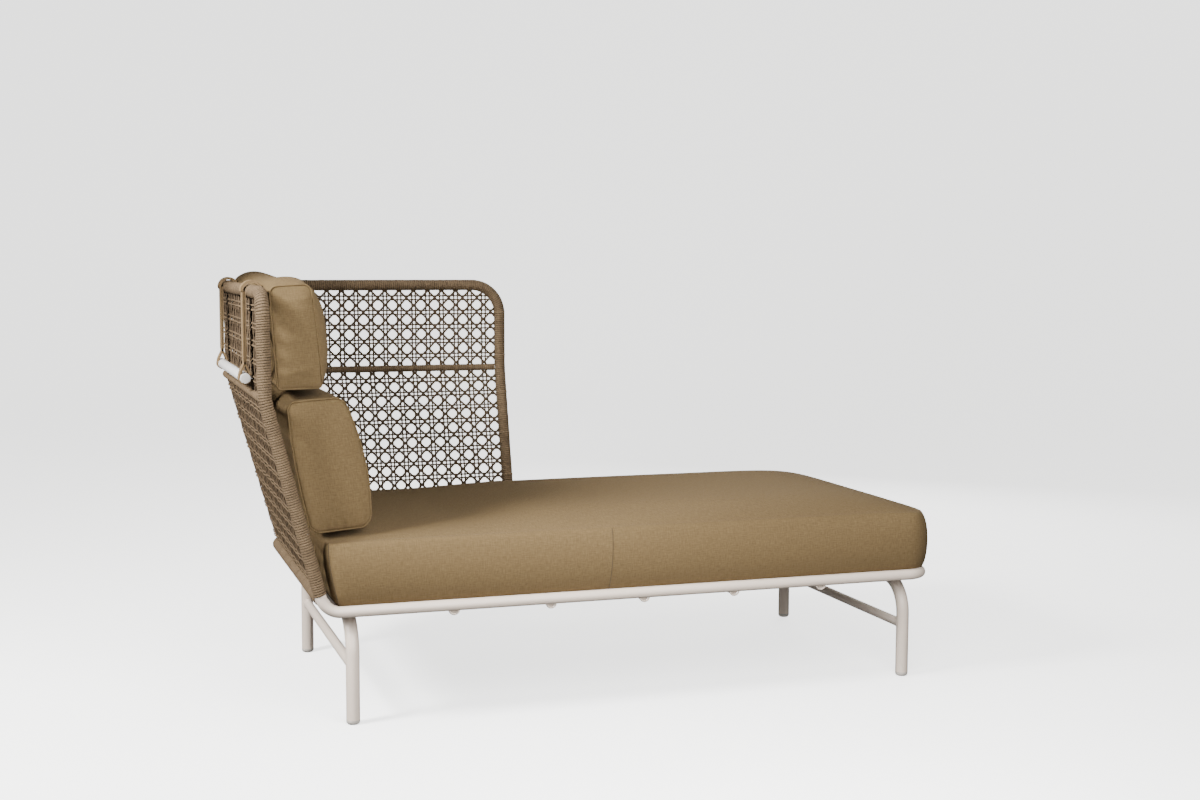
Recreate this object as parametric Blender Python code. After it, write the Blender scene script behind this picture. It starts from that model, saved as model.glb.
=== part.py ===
"""Chaise longue: a bent tube frame with a woven corner back, three cushions and a hung head cushion.

Metres, +Z up, +X from the head end to the foot end, +Y from the open side to the panelled side.
While it is built, X = 0 is the head line, Y = 0 the open side's rail and Z = 0 the floor.
At the end the whole chaise is moved so that the middle of its base stands on the origin.
"""
import math

import bmesh
import bpy
from mathutils import Matrix, Quaternion, Vector

# Base frame, between tube centre lines
BASE_LENGTH = 1.446
BASE_WIDTH = 0.773
RAIL_HEIGHT = 0.259
RAIL_DIAMETER = 0.025
FOOT_CORNER_RADIUS = 0.055
RISE_BEND_RADIUS = 0.046
FAR_RAIL_START = 0.030

# Legs and cross pieces
LEG_DIAMETER = 0.030
LEG_BEND_RADIUS = 0.078
LEG_HEAD_SETBACK = 0.066
LEG_FOOT_SETBACK = 0.040
LEG_SIDE_SETBACK = 0.050
STRETCHER_HEIGHT = 0.127
STRETCHER_DIAMETER = 0.022
CROSS_BAR_DIAMETER = 0.025
SLAT_DIAMETER = 0.022
SLAT_DROP = 0.010
SLAT_FIRST = 0.280
SLAT_PITCH = 0.220
SLAT_COUNT = 5
GLIDE_HEIGHT = 0.010
GLIDE_ROUNDING = 0.007
GLIDE_STEM = 0.025
PLUG_HEAD = 0.004
PLUG_ROUNDING = 0.0025
PLUG_STEM = 0.025
TUBE_WALL = 0.002

# Woven back: lower part leans out, upper part stands nearly upright
LOWER_LEAN = math.radians(14.7)
UPPER_LEAN = math.radians(0.8)
MID_BAR_HEIGHT = 0.712
TOP_RAIL_HEIGHT = 0.9355
SIDE_PANEL_LENGTH = 0.621
BACK_TUBE_DIAMETER = 0.025
MID_BAR_DIAMETER = 0.014
PROFILE_BEND_RADIUS = 0.120
CORNER_RADIUS = 0.080
NEAR_TOP_RADIUS = 0.045
SIDE_TOP_RADIUS = 0.078
ROPE_THICKNESS = 0.002
WRAP_END_MARGIN = 0.022
NET_PITCH = 0.076
NET_BAR = 0.020
NET_THICKNESS = 0.008
NET_SEAM = 0.0015

# Counterweight that hangs behind the back and holds the head cushion up
ROD_DIAMETER = 0.023
ROD_LENGTH = 0.540
ROD_HEIGHT = 0.747
ROD_EDGE = 0.0012
STRAP_SPACING = 0.500
STRAP_WIDTH = 0.030
STRAP_LAYER = 0.0018
STRAP_TAIL = 0.060
STRAP_NECK = 0.030
LOOP_OPENING = math.radians(60)

# Cushions, between seams
SEAT_THICKNESS = 0.128
SEAT_CROWN = 0.020
SEAT_EDGE = 0.032
SEAT_HEAD_INSET = 0.022
SEAT_HEAD_SLANT = 0.024
SEAT_FOOT_OVERHANG = 0.010
SEAT_NEAR_OVERHANG = 0.0015
BACK_HEIGHT = 0.284
BACK_THICKNESS = 0.110
BACK_CROWN = 0.019
BACK_EDGE = 0.026
HEAD_HEIGHT = 0.218
HEAD_THICKNESS = 0.108
HEAD_CROWN = 0.015
HEAD_REST_CROWN = 0.006
HEAD_EDGE = 0.026
CUSHION_NEAR_INSET = 0.050
CUSHION_CORNER_REACH = 0.040
CUSHION_DRAW = 0.007
CUSHION_GAP = 0.010

# Clearances and smoothness
FIT_GAP = 0.0003
SOFT_GAP = 0.0004
TUBE_SIDES = 12
CORE_SIDES = 8
ROD_SIDES = 24
LOOP_STEPS = 14
SADDLE_STEPS = 12
ARC_STEP = math.radians(18)
BEND_LEAD = 0.004
SHARP_ANGLE = math.radians(40)
CROWN_KEEP = (63 / 64) ** 2
CORNER_KEEP = 3 / 4
CROWN_POWER = 4
GRID_CUTS = 3
INNER_LEVEL = 0.5
OUTER_LEVEL = 0.9
HEAD_LEVEL = -0.4

# Sizes that follow from those above
RAIL_RADIUS = RAIL_DIAMETER / 2
LEG_RADIUS = LEG_DIAMETER / 2
BACK_RADIUS = BACK_TUBE_DIAMETER / 2
WRAP_RADIUS = BACK_RADIUS + ROPE_THICKNESS
MID_RADIUS = MID_BAR_DIAMETER / 2
MID_WRAP_RADIUS = MID_RADIUS + ROPE_THICKNESS
BOTTOM_BAR_HEIGHT = RAIL_HEIGHT + RAIL_RADIUS + FIT_GAP + WRAP_RADIUS
LEG_FOOT_X = BASE_LENGTH - LEG_FOOT_SETBACK
CROSS_BAR_RADIUS = CROSS_BAR_DIAMETER / 2
STRETCHER_RADIUS = STRETCHER_DIAMETER / 2
SLAT_RADIUS = SLAT_DIAMETER / 2
LEG_TOP_HEIGHT = RAIL_HEIGHT - CROSS_BAR_RADIUS - FIT_GAP - LEG_RADIUS
STRAP_THICKNESS = 2 * STRAP_LAYER + FIT_GAP
RISE_REACH = RISE_BEND_RADIUS * math.tan((math.pi / 2 - LOWER_LEAN) / 2)
WRAP_START = RISE_REACH + BEND_LEAD
SEAT_REST = RAIL_HEIGHT + CROSS_BAR_RADIUS + SOFT_GAP


def outset(height):
    """How far the back stands outside the base line at a height."""
    lower = min(height, MID_BAR_HEIGHT) - RAIL_HEIGHT
    upper = max(height - MID_BAR_HEIGHT, 0.0)
    return lower * math.tan(LOWER_LEAN) + upper * math.tan(UPPER_LEAN)


def end_point(y, height):
    """Point of the end panel's middle surface."""
    return Vector((-outset(height), y, height))


def side_point(x, height):
    """Point of the side panel's middle surface."""
    return Vector((x, BASE_WIDTH + outset(height), height))


def corner_point(angle, height):
    """Point of the rounded corner between the end panel and the side panel."""
    out = outset(height)
    x = CORNER_RADIUS - out - CORNER_RADIUS * math.cos(angle)
    y = BASE_WIDTH + out - CORNER_RADIUS + CORNER_RADIUS * math.sin(angle)
    return Vector((x, y, height))


def clear_scene():
    """Remove every object of the opened file."""
    for item in list(bpy.data.objects):
        bpy.data.objects.remove(item, do_unlink=True)


def make_material(name, colour, roughness, metallic=0.0):
    """Plain finish with one colour."""
    finish = bpy.data.materials.new(name)
    finish.use_nodes = True
    shader = finish.node_tree.nodes["Principled BSDF"]
    shader.inputs["Base Color"].default_value = (*colour, 1.0)
    shader.inputs["Roughness"].default_value = roughness
    shader.inputs["Metallic"].default_value = metallic
    return finish


def add_object(name, data, finish, place=(0.0, 0.0, 0.0)):
    """Put a piece into the scene under the chaise's own empty."""
    piece = bpy.data.objects.new(name, data)
    bpy.context.scene.collection.objects.link(piece)
    piece.location = place
    piece.parent = CHAISE
    data.materials.append(finish)
    PIECES.append(piece)
    return piece


def add_mesh(name, shape, finish, place=(0.0, 0.0, 0.0)):
    """Turn a finished bmesh into a smooth shaded piece."""
    mesh = bpy.data.meshes.new(name)
    bmesh.ops.recalc_face_normals(shape, faces=shape.faces)
    shape.to_mesh(mesh)
    shape.free()
    mesh.shade_smooth()
    mesh.set_sharp_from_angle(angle=SHARP_ANGLE)
    return add_object(name, mesh, finish, place)


def bent_path(corners, radii):
    """Centre line through corners, each rounded to its radius, and where its bends lie along it."""
    path = [corners[0]]
    bend_ends = []
    for before, corner, after, radius in zip(corners, corners[1:], corners[2:], radii):
        back = (before - corner).normalized()
        ahead = (after - corner).normalized()
        opening = back.angle(ahead)
        reach = radius / math.tan(opening / 2)
        centre = corner + (back + ahead).normalized() * radius / math.sin(opening / 2)
        spoke = corner + back * reach - centre
        turn = math.pi - opening
        steps = max(2, math.ceil(turn / ARC_STEP))
        axis = ahead.cross(back).normalized()
        bend_ends.append(len(path))
        for step in range(steps + 1):
            path.append(centre + Quaternion(axis, turn * step / steps) @ spoke)
        bend_ends.append(len(path) - 1)
    path.append(corners[-1])
    marks = [0.0]
    for first, second in zip(path, path[1:]):
        marks.append(marks[-1] + (second - first).length)
    bends = [(marks[i], marks[j]) for i, j in zip(bend_ends[0::2], bend_ends[1::2])]
    return path, marks, bends


def cut_path(path, marks, begin, end):
    """Stretch of a path between two distances along it."""
    stretch = []
    for first, second, low, high in zip(path, path[1:], marks, marks[1:]):
        for wanted in (begin, end):
            if low <= wanted < high or (wanted == end and wanted == high == marks[-1]):
                stretch.append((wanted, first.lerp(second, (wanted - low) / (high - low))))
        if begin < high < end:
            stretch.append((high, second))
    return [point for _, point in sorted(stretch, key=lambda entry: entry[0])]


def add_tube(name, path, radius, finish, bore=None, sides=TUBE_SIDES):
    """Round bar along a path, or a tube where a bore radius is given."""
    curve = bpy.data.curves.new(name, "CURVE")
    curve.dimensions = "3D"
    curve.bevel_depth = radius
    curve.bevel_resolution = (sides - 4) // 2
    curve.use_fill_caps = bore is None
    spline = curve.splines.new("POLY")
    spline.points.add(len(path) - 1)
    for knot, point in zip(spline.points, path):
        knot.co = (*point, 1.0)
    piece = add_object(name, curve, finish)
    if bore is not None:
        wall = piece.modifiers.new("wall", "SOLIDIFY")
        wall.thickness = (radius - bore) * math.cos(math.pi / sides)
        wall.offset = -1.0
        wall.use_even_offset = True
    return piece


def sleeve_bore(core_radius):
    """Bore whose flats clear a core of that radius, whichever way the sides are turned."""
    return (core_radius + FIT_GAP) / math.cos(math.pi / TUBE_SIDES)


def add_wrap(name, path, marks, begin, end, core_radius, finish):
    """Rope sleeve round one stretch of a tube."""
    stretch = cut_path(path, marks, begin + FIT_GAP / 2, end - FIT_GAP / 2)
    return add_tube(name, stretch, core_radius + ROPE_THICKNESS, finish, sleeve_bore(core_radius))


def add_turned(name, profile, sides, finish, place):
    """Solid turned about its upright axis; the profile runs from the axis below to the axis on top."""
    shape = bmesh.new()
    points = [shape.verts.new((radius, 0.0, height)) for radius, height in profile]
    edges = [shape.edges.new(pair) for pair in zip(points, points[1:])]
    bmesh.ops.spin(shape, geom=points + edges, axis=(0, 0, 1), cent=(0, 0, 0),
                   angle=2 * math.pi, steps=sides, use_merge=True)
    bmesh.ops.remove_doubles(shape, verts=shape.verts, dist=1e-6)
    return add_mesh(name, shape, finish, place)


def add_ribbon(name, outline, width, thickness, finish, place):
    """Flat strap: an outline in the XZ plane drawn out along Y and thickened about it."""
    shape = bmesh.new()
    points = [shape.verts.new((x, -width / 2, height)) for x, height in outline]
    edges = [shape.edges.new(pair) for pair in zip(points, points[1:])]
    drawn = bmesh.ops.extrude_edge_only(shape, edges=edges)["geom"]
    far_side = [item for item in drawn if isinstance(item, bmesh.types.BMVert)]
    bmesh.ops.translate(shape, verts=far_side, vec=(0.0, width, 0.0))
    strap = add_mesh(name, shape, finish, place)
    body = strap.modifiers.new("body", "SOLIDIFY")
    body.thickness = thickness
    body.offset = 0.0
    body.use_even_offset = True
    return strap


def add_net(name, point_at, low, high, columns, finish):
    """Woven panel: a sheet between two heights with a gap in each cell."""
    rows = max(1, round((high - low) / NET_PITCH))
    shape = bmesh.new()
    bmesh.ops.create_grid(shape, x_segments=columns, y_segments=rows, size=0.5)
    for vert in shape.verts:
        across, up = vert.co.x + 0.5, vert.co.y + 0.5
        vert.co = point_at(across, low + up * (high - low))
    shape.normal_update()
    cells = list(shape.faces)
    bmesh.ops.inset_individual(shape, faces=cells, thickness=NET_BAR / 2, use_even_offset=True)
    bmesh.ops.delete(shape, geom=cells, context="FACES")
    net = add_mesh(name, shape, finish)
    body = net.modifiers.new("body", "SOLIDIFY")
    body.thickness = NET_THICKNESS
    body.offset = 0.0
    return net


def add_cushion(name, size, edge, crowns, finish, place, tilt=0.0, slant=0.0, corner_cut=0.0):
    """Sewn cushion: flat along its seams, crowned on its two faces and drawn in along its sides."""
    half = Vector(size) / 2
    shape = bmesh.new()
    bmesh.ops.create_cube(shape, size=2.0)
    bmesh.ops.subdivide_edges(shape, edges=shape.edges, cuts=GRID_CUTS, use_grid_fill=True)
    for vert in shape.verts:
        a, b, c = vert.co
        outer = [math.copysign(1, level) if abs(level) > OUTER_LEVEL else 0 for level in vert.co]
        spot = Vector()
        for axis in range(3):
            inner = (half[axis] - edge) * vert.co[axis] / INNER_LEVEL
            spot[axis] = half[axis] * outer[axis] if outer[axis] else inner
        bulge = (1 - a ** CROWN_POWER) * (1 - b ** CROWN_POWER) / CROWN_KEEP
        spot.z += bulge * outer[2] * (crowns[1] if c > 0 else crowns[0])
        spot.x -= CUSHION_DRAW * (1 - b * b) * (1 - c * c) * outer[0]
        spot.y -= CUSHION_DRAW * (1 - a * a) * (1 - c * c) * outer[1]
        if a < HEAD_LEVEL:
            spot.x -= slant * (spot.z + half.z) / size[2]
        if outer[0] < 0 and outer[1] > 0:
            spot += Vector((corner_cut, -corner_cut, 0.0)) / CORNER_KEEP
        vert.co = spot
    bmesh.ops.rotate(shape, verts=shape.verts, cent=(0, 0, 0), matrix=Matrix.Rotation(tilt, 3, "Y"))
    cushion = add_mesh(name, shape, finish, place)
    soft = cushion.modifiers.new("soft", "SUBSURF")
    soft.levels = 1
    soft.render_levels = 1
    return cushion


def build_base(paint):
    """Rails of the base: the open side's rail rises into the back at the head end."""
    bore = RAIL_RADIUS - TUBE_WALL
    lean = Vector((-math.sin(LOWER_LEAN), 0.0, math.cos(LOWER_LEAN)))
    near_corner = Vector((0.0, 0.0, RAIL_HEIGHT))
    foot_start = BASE_LENGTH - FOOT_CORNER_RADIUS - BEND_LEAD
    near_end = Vector((foot_start - FIT_GAP, 0.0, RAIL_HEIGHT))
    near_path, _, _ = bent_path([near_corner + lean * (WRAP_START - FIT_GAP), near_corner, near_end],
                                [RISE_BEND_RADIUS])
    add_tube("near_side_rail", near_path, RAIL_RADIUS, paint, bore)
    foot_path, _, _ = bent_path(
        [Vector((foot_start, 0.0, RAIL_HEIGHT)), Vector((BASE_LENGTH, 0.0, RAIL_HEIGHT)),
         Vector((BASE_LENGTH, BASE_WIDTH, RAIL_HEIGHT)), Vector((foot_start, BASE_WIDTH, RAIL_HEIGHT))],
        [FOOT_CORNER_RADIUS, FOOT_CORNER_RADIUS])
    add_tube("foot_end_rail", foot_path, RAIL_RADIUS, paint, bore)
    far_path = [Vector((FAR_RAIL_START, BASE_WIDTH, RAIL_HEIGHT)),
                Vector((foot_start - FIT_GAP, BASE_WIDTH, RAIL_HEIGHT))]
    add_tube("far_side_rail", far_path, RAIL_RADIUS, paint, bore)


def build_rail_plug(plastic):
    """Plug that closes the panelled side's rail at the head end."""
    stem_radius = (RAIL_RADIUS - TUBE_WALL) * math.cos(math.pi / TUBE_SIDES) - FIT_GAP
    stem_end = PLUG_HEAD + PLUG_STEM
    profile = [(0.0, 0.0), (RAIL_RADIUS - PLUG_ROUNDING, 0.0), (RAIL_RADIUS, PLUG_ROUNDING),
               (RAIL_RADIUS, PLUG_HEAD), (stem_radius, PLUG_HEAD), (stem_radius, stem_end), (0.0, stem_end)]
    place = (FAR_RAIL_START - PLUG_HEAD - FIT_GAP, BASE_WIDTH, RAIL_HEIGHT)
    plug = add_turned("far_rail_plug", profile, TUBE_SIDES, plastic, place)
    plug.rotation_euler = (0.0, math.pi / 2, 0.0)


def build_legs(paint, plastic):
    """Two bent leg frames, each with a stretcher, a cross bar on top and a glide in each foot."""
    near_y = LEG_SIDE_SETBACK
    far_y = BASE_WIDTH - LEG_SIDE_SETBACK
    bore = LEG_RADIUS - TUBE_WALL
    stem_radius = bore * math.cos(math.pi / TUBE_SIDES) - FIT_GAP
    flat_radius = LEG_RADIUS - GLIDE_ROUNDING
    rounding = [(flat_radius + GLIDE_ROUNDING * math.sin(turn), GLIDE_ROUNDING * (1 - math.cos(turn)))
                for turn in (0.0, math.pi / 6, math.pi / 3, math.pi / 2)]
    glide_profile = [(0.0, 0.0), *rounding, (LEG_RADIUS, GLIDE_HEIGHT), (stem_radius, GLIDE_HEIGHT),
                     (stem_radius, GLIDE_HEIGHT + GLIDE_STEM), (0.0, GLIDE_HEIGHT + GLIDE_STEM)]
    foot_height = GLIDE_HEIGHT + FIT_GAP
    for end, x in (("head", LEG_HEAD_SETBACK), ("foot", LEG_FOOT_X)):
        path, _, _ = bent_path(
            [Vector((x, near_y, foot_height)), Vector((x, near_y, LEG_TOP_HEIGHT)),
             Vector((x, far_y, LEG_TOP_HEIGHT)), Vector((x, far_y, foot_height))],
            [LEG_BEND_RADIUS, LEG_BEND_RADIUS])
        add_tube(f"{end}_leg_frame", path, LEG_RADIUS, paint, bore)
        cross_path = [Vector((x, y, RAIL_HEIGHT)) for y in span_between_rails(x, CROSS_BAR_RADIUS)]
        add_tube(f"{end}_cross_bar", cross_path, CROSS_BAR_RADIUS, paint, CROSS_BAR_RADIUS - TUBE_WALL)
        reach = LEG_RADIUS + FIT_GAP
        stretcher_path = [Vector((x, near_y + reach, STRETCHER_HEIGHT)),
                          Vector((x, far_y - reach, STRETCHER_HEIGHT))]
        add_tube(f"{end}_stretcher", stretcher_path, STRETCHER_RADIUS, paint, STRETCHER_RADIUS - TUBE_WALL)
        for side, y in (("near", near_y), ("far", far_y)):
            add_turned(f"{end}_{side}_glide", glide_profile, TUBE_SIDES, plastic, (x, y, 0.0))


def span_between_rails(x, bar_radius):
    """Ends of a bar that butts between the two side rails, also beside their rounded foot corners."""
    reach = RAIL_RADIUS
    depth = x + bar_radius - (BASE_LENGTH - FOOT_CORNER_RADIUS)
    if depth > 0.0:
        inner = FOOT_CORNER_RADIUS * math.cos(ARC_STEP / 2) - RAIL_RADIUS
        reach = FOOT_CORNER_RADIUS - math.sqrt(inner * inner - min(depth, inner) ** 2)
    return reach + FIT_GAP, BASE_WIDTH - reach - FIT_GAP


def build_slats(paint):
    """Round slats under the seat cushion, butted between the side rails."""
    for number in range(SLAT_COUNT):
        x = SLAT_FIRST + SLAT_PITCH * number
        ends = span_between_rails(x, SLAT_RADIUS)
        path = [Vector((x, y, RAIL_HEIGHT - SLAT_DROP)) for y in ends]
        add_tube(f"slat_{number + 1}", path, SLAT_RADIUS, paint, SLAT_RADIUS - TUBE_WALL)


def build_back_tube(paint, rope):
    """Bent tube round the back: open edge, top rail, rounded corner and side edge, with its rope wraps."""
    lean = Vector((-math.sin(LOWER_LEAN), 0.0, math.cos(LOWER_LEAN)))
    side_lean = Vector((0.0, math.sin(LOWER_LEAN), math.cos(LOWER_LEAN)))
    near_base = Vector((0.0, 0.0, RAIL_HEIGHT)) + lean * WRAP_START
    side_base = Vector((SIDE_PANEL_LENGTH, BASE_WIDTH, RAIL_HEIGHT)) + side_lean * (RAIL_RADIUS + FIT_GAP)
    top_out = outset(TOP_RAIL_HEIGHT)
    corners = [near_base, end_point(0.0, MID_BAR_HEIGHT), end_point(0.0, TOP_RAIL_HEIGHT),
               Vector((-top_out, BASE_WIDTH + top_out, TOP_RAIL_HEIGHT)),
               side_point(SIDE_PANEL_LENGTH, TOP_RAIL_HEIGHT), side_point(SIDE_PANEL_LENGTH, MID_BAR_HEIGHT),
               side_base]
    radii = [PROFILE_BEND_RADIUS, NEAR_TOP_RADIUS, CORNER_RADIUS, SIDE_TOP_RADIUS, PROFILE_BEND_RADIUS]
    path, marks, bends = bent_path(corners, radii)
    add_tube("back_tube", path, BACK_RADIUS, paint, BACK_RADIUS - TUBE_WALL, CORE_SIDES)
    near_top = bends[1][0] - BEND_LEAD
    corner_start = bends[2][0] - BEND_LEAD
    corner_end = bends[2][1] + BEND_LEAD
    side_top = bends[3][0] - BEND_LEAD
    stretches = (("near_upright_wrap", 0.0, near_top), ("top_end_wrap", near_top, corner_start),
                 ("top_corner_wrap", corner_start, corner_end), ("top_side_wrap", corner_end, side_top),
                 ("side_upright_wrap", side_top, marks[-1] - WRAP_END_MARGIN))
    for name, begin, end in stretches:
        add_wrap(name, path, marks, begin, end, BACK_RADIUS, rope)


def build_bar(name, height, radius, bore, paint, rope):
    """Rope wrapped bar that runs round the corner between the two upright edges of the back."""
    out = outset(height)
    reach = WRAP_RADIUS + FIT_GAP
    corners = [end_point(reach, height), Vector((-out, BASE_WIDTH + out, height)),
               side_point(SIDE_PANEL_LENGTH - reach, height)]
    path, marks, bends = bent_path(corners, [CORNER_RADIUS])
    add_tube(f"{name}_bar", path, radius, paint, bore, CORE_SIDES)
    corner_start = bends[0][0] - BEND_LEAD
    corner_end = bends[0][1] + BEND_LEAD
    stretches = (("end", 0.0, corner_start), ("corner", corner_start, corner_end),
                 ("side", corner_end, marks[-1]))
    for part, begin, end in stretches:
        add_wrap(f"{name}_{part}_wrap", path, marks, begin, end, radius, rope)


def round_inset(height, radius):
    """How far a panel's edge draws in beside the rounded corner of its tube."""
    inner = radius - WRAP_RADIUS - FIT_GAP
    rise = min(max(height - (TOP_RAIL_HEIGHT - radius), 0.0), inner)
    return inner - math.sqrt(inner * inner - rise * rise)


def build_weaves(rope):
    """Woven panels of the end, the corner and the side, below and above the middle bar."""
    edge = WRAP_RADIUS + FIT_GAP
    lower = (BOTTOM_BAR_HEIGHT + edge * math.cos(LOWER_LEAN),
             MID_BAR_HEIGHT - (MID_WRAP_RADIUS + FIT_GAP) * math.cos(LOWER_LEAN))
    upper = (MID_BAR_HEIGHT + MID_WRAP_RADIUS + FIT_GAP, TOP_RAIL_HEIGHT - edge)
    seam_angle = NET_SEAM / CORNER_RADIUS

    def end_sheet(across, height):
        start = edge + round_inset(height, NEAR_TOP_RADIUS)
        stop = BASE_WIDTH + outset(height) - CORNER_RADIUS - FIT_GAP
        return end_point(start + across * (stop - start), height)

    def corner_sheet(across, height):
        return corner_point(seam_angle + across * (math.pi / 2 - 2 * seam_angle), height)

    def side_sheet(across, height):
        start = CORNER_RADIUS - outset(height) + FIT_GAP
        stop = SIDE_PANEL_LENGTH - edge - round_inset(height, SIDE_TOP_RADIUS)
        return side_point(start + across * (stop - start), height)

    end_columns = round(BASE_WIDTH / NET_PITCH)
    side_columns = round(SIDE_PANEL_LENGTH / NET_PITCH)
    corner_columns = max(3, round(CORNER_RADIUS * math.pi / 2 / NET_PITCH))
    for level, (low, high) in (("lower", lower), ("upper", upper)):
        add_net(f"end_{level}_weave", end_sheet, low, high, end_columns, rope)
        add_net(f"corner_{level}_weave", corner_sheet, low, high, corner_columns, rope)
        add_net(f"side_{level}_weave", side_sheet, low, high, side_columns, rope)


def strap_x():
    """Middle plane of the straps where they hang outside the top rail."""
    return -outset(TOP_RAIL_HEIGHT) - WRAP_RADIUS - FIT_GAP - STRAP_THICKNESS / 2


def strap_middle_y():
    """Middle of the end panel's top rail, where the counterweight is centred."""
    return (BASE_WIDTH + outset(TOP_RAIL_HEIGHT)) / 2


def build_counterweight(webbing, paint):
    """Rod that hangs on two straps laid over the top rail."""
    x = strap_x()
    middle = strap_middle_y()
    rod_radius = ROD_DIAMETER / 2
    half_rod = ROD_LENGTH / 2
    profile = [(0.0, -half_rod), (rod_radius - ROD_EDGE, -half_rod), (rod_radius, ROD_EDGE - half_rod),
               (rod_radius, half_rod - ROD_EDGE), (rod_radius - ROD_EDGE, half_rod), (0.0, half_rod)]
    rod = add_turned("counterweight_rod", profile, ROD_SIDES, paint, (x, middle, ROD_HEIGHT))
    rod.rotation_euler = (math.pi / 2, 0.0, 0.0)

    loop_step = (math.pi + 2 * LOOP_OPENING) / LOOP_STEPS
    loop_radius = (rod_radius + FIT_GAP + STRAP_LAYER / 2) / math.cos(loop_step / 2)
    half_gap = (STRAP_LAYER + FIT_GAP) / 2
    loop = [(loop_radius * math.cos(turn), loop_radius * math.sin(turn))
            for turn in (LOOP_OPENING - loop_step * step for step in range(LOOP_STEPS + 1))]
    drop = TOP_RAIL_HEIGHT - ROD_HEIGHT - FIT_GAP
    neck = rod_radius + STRAP_NECK
    drop_outline = [(half_gap, drop), (half_gap, neck), *loop, (-half_gap, neck), (-half_gap, drop)]

    saddle_step = math.pi / SADDLE_STEPS
    saddle_radius = (WRAP_RADIUS + FIT_GAP) / math.cos(saddle_step / 2) + STRAP_THICKNESS / 2
    saddle_outline = [(-saddle_radius * math.cos(turn), saddle_radius * math.sin(turn))
                      for turn in (saddle_step * step for step in range(SADDLE_STEPS + 1))]
    saddle_outline.append((saddle_radius, -STRAP_TAIL))
    rail_x = -outset(TOP_RAIL_HEIGHT)
    for side, offset in (("near", -STRAP_SPACING / 2), ("far", STRAP_SPACING / 2)):
        y = middle + offset
        add_ribbon(f"{side}_strap_drop", drop_outline, STRAP_WIDTH, STRAP_LAYER, webbing, (x, y, ROD_HEIGHT))
        add_ribbon(f"{side}_strap_saddle", saddle_outline, STRAP_WIDTH, STRAP_THICKNESS, webbing,
                   (rail_x, y, TOP_RAIL_HEIGHT))


def cushion_span(lowest):
    """Middle and length of a back cushion, from its open end to a little way into the rounded corner."""
    far = BASE_WIDTH + outset(lowest) - CORNER_RADIUS + CUSHION_CORNER_REACH
    return (CUSHION_NEAR_INSET + far) / 2, far - CUSHION_NEAR_INSET


def build_seat_cushion(fabric):
    """Long seat cushion on the rails and slats."""
    start = SEAT_HEAD_INSET
    stop = BASE_LENGTH + SEAT_FOOT_OVERHANG
    near = -SEAT_NEAR_OVERHANG
    far = BASE_WIDTH - WRAP_RADIUS - SOFT_GAP
    size = (stop - start, far - near, SEAT_THICKNESS)
    place = ((start + stop) / 2, (near + far) / 2, SEAT_REST + SEAT_THICKNESS / 2)
    corner_cut = (CORNER_RADIUS - WRAP_RADIUS) * (1 - math.sqrt(0.5)) - outset(BOTTOM_BAR_HEIGHT)
    add_cushion("seat_cushion", size, SEAT_EDGE, (0.0, SEAT_CROWN), fabric, place, slant=SEAT_HEAD_SLANT,
                corner_cut=corner_cut)


def build_back_cushions(fabric):
    """Back cushion that leans on the lower weave, and the head cushion that hangs above it."""
    seat_top = SEAT_REST + SEAT_THICKNESS + SEAT_CROWN
    depth = BACK_THICKNESS / 2 + BACK_CROWN
    up = Vector((-math.sin(LOWER_LEAN), 0.0, math.cos(LOWER_LEAN)))
    front = Vector((math.cos(LOWER_LEAN), 0.0, math.sin(LOWER_LEAN)))
    panel_face = Vector((0.0, 0.0, RAIL_HEIGHT)) + front * (NET_THICKNESS / 2 + SOFT_GAP + depth)
    bottom_drop = BACK_HEIGHT / 2 * up.z + BACK_THICKNESS / 2 * front.z
    back_height = seat_top + SOFT_GAP + bottom_drop
    back_centre = panel_face + up * ((back_height - panel_face.z) / up.z)
    back_centre.y, back_length = cushion_span(seat_top)
    turn = -(math.pi / 2 + LOWER_LEAN)
    add_cushion("back_cushion", (BACK_HEIGHT, back_length, BACK_THICKNESS), BACK_EDGE,
                (BACK_CROWN, BACK_CROWN), fabric, back_centre, tilt=turn)

    back_top = back_centre.z + BACK_HEIGHT / 2 * up.z + BACK_THICKNESS / 2 * front.z
    head_tilt = UPPER_LEAN
    strap_inside = -outset(TOP_RAIL_HEIGHT) + WRAP_RADIUS + FIT_GAP + STRAP_THICKNESS
    head_reach = HEAD_THICKNESS / 2 + HEAD_REST_CROWN
    lean_in = math.tan(head_tilt) * (HEAD_HEIGHT / 2 - HEAD_EDGE) / 2
    half_height = HEAD_HEIGHT / 2 * math.cos(head_tilt) + HEAD_THICKNESS / 2 * math.sin(head_tilt)
    head_middle, head_length = cushion_span(back_top)
    head_centre = (strap_inside + SOFT_GAP + head_reach / math.cos(head_tilt) + lean_in,
                   head_middle, back_top + CUSHION_GAP + half_height)
    add_cushion("head_cushion", (HEAD_HEIGHT, head_length, HEAD_THICKNESS), HEAD_EDGE,
                (HEAD_CROWN, HEAD_REST_CROWN), fabric, head_centre, tilt=-(math.pi / 2 + head_tilt))


def stand_on_origin():
    """Move the whole chaise so that the middle of its base stands on the origin."""
    bpy.context.view_layer.update()
    graph = bpy.context.evaluated_depsgraph_get()
    spots = []
    for piece in PIECES:
        solid = piece.evaluated_get(graph)
        spots.extend(solid.matrix_world @ vert.co for vert in solid.to_mesh().vertices)
        solid.to_mesh_clear()
    for axis in range(2):
        values = [spot[axis] for spot in spots]
        CHAISE.location[axis] = -(min(values) + max(values)) / 2
    bpy.context.view_layer.update()


clear_scene()
PIECES = []
CHAISE = bpy.data.objects.new("chaise_longue", None)
bpy.context.scene.collection.objects.link(CHAISE)

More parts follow.
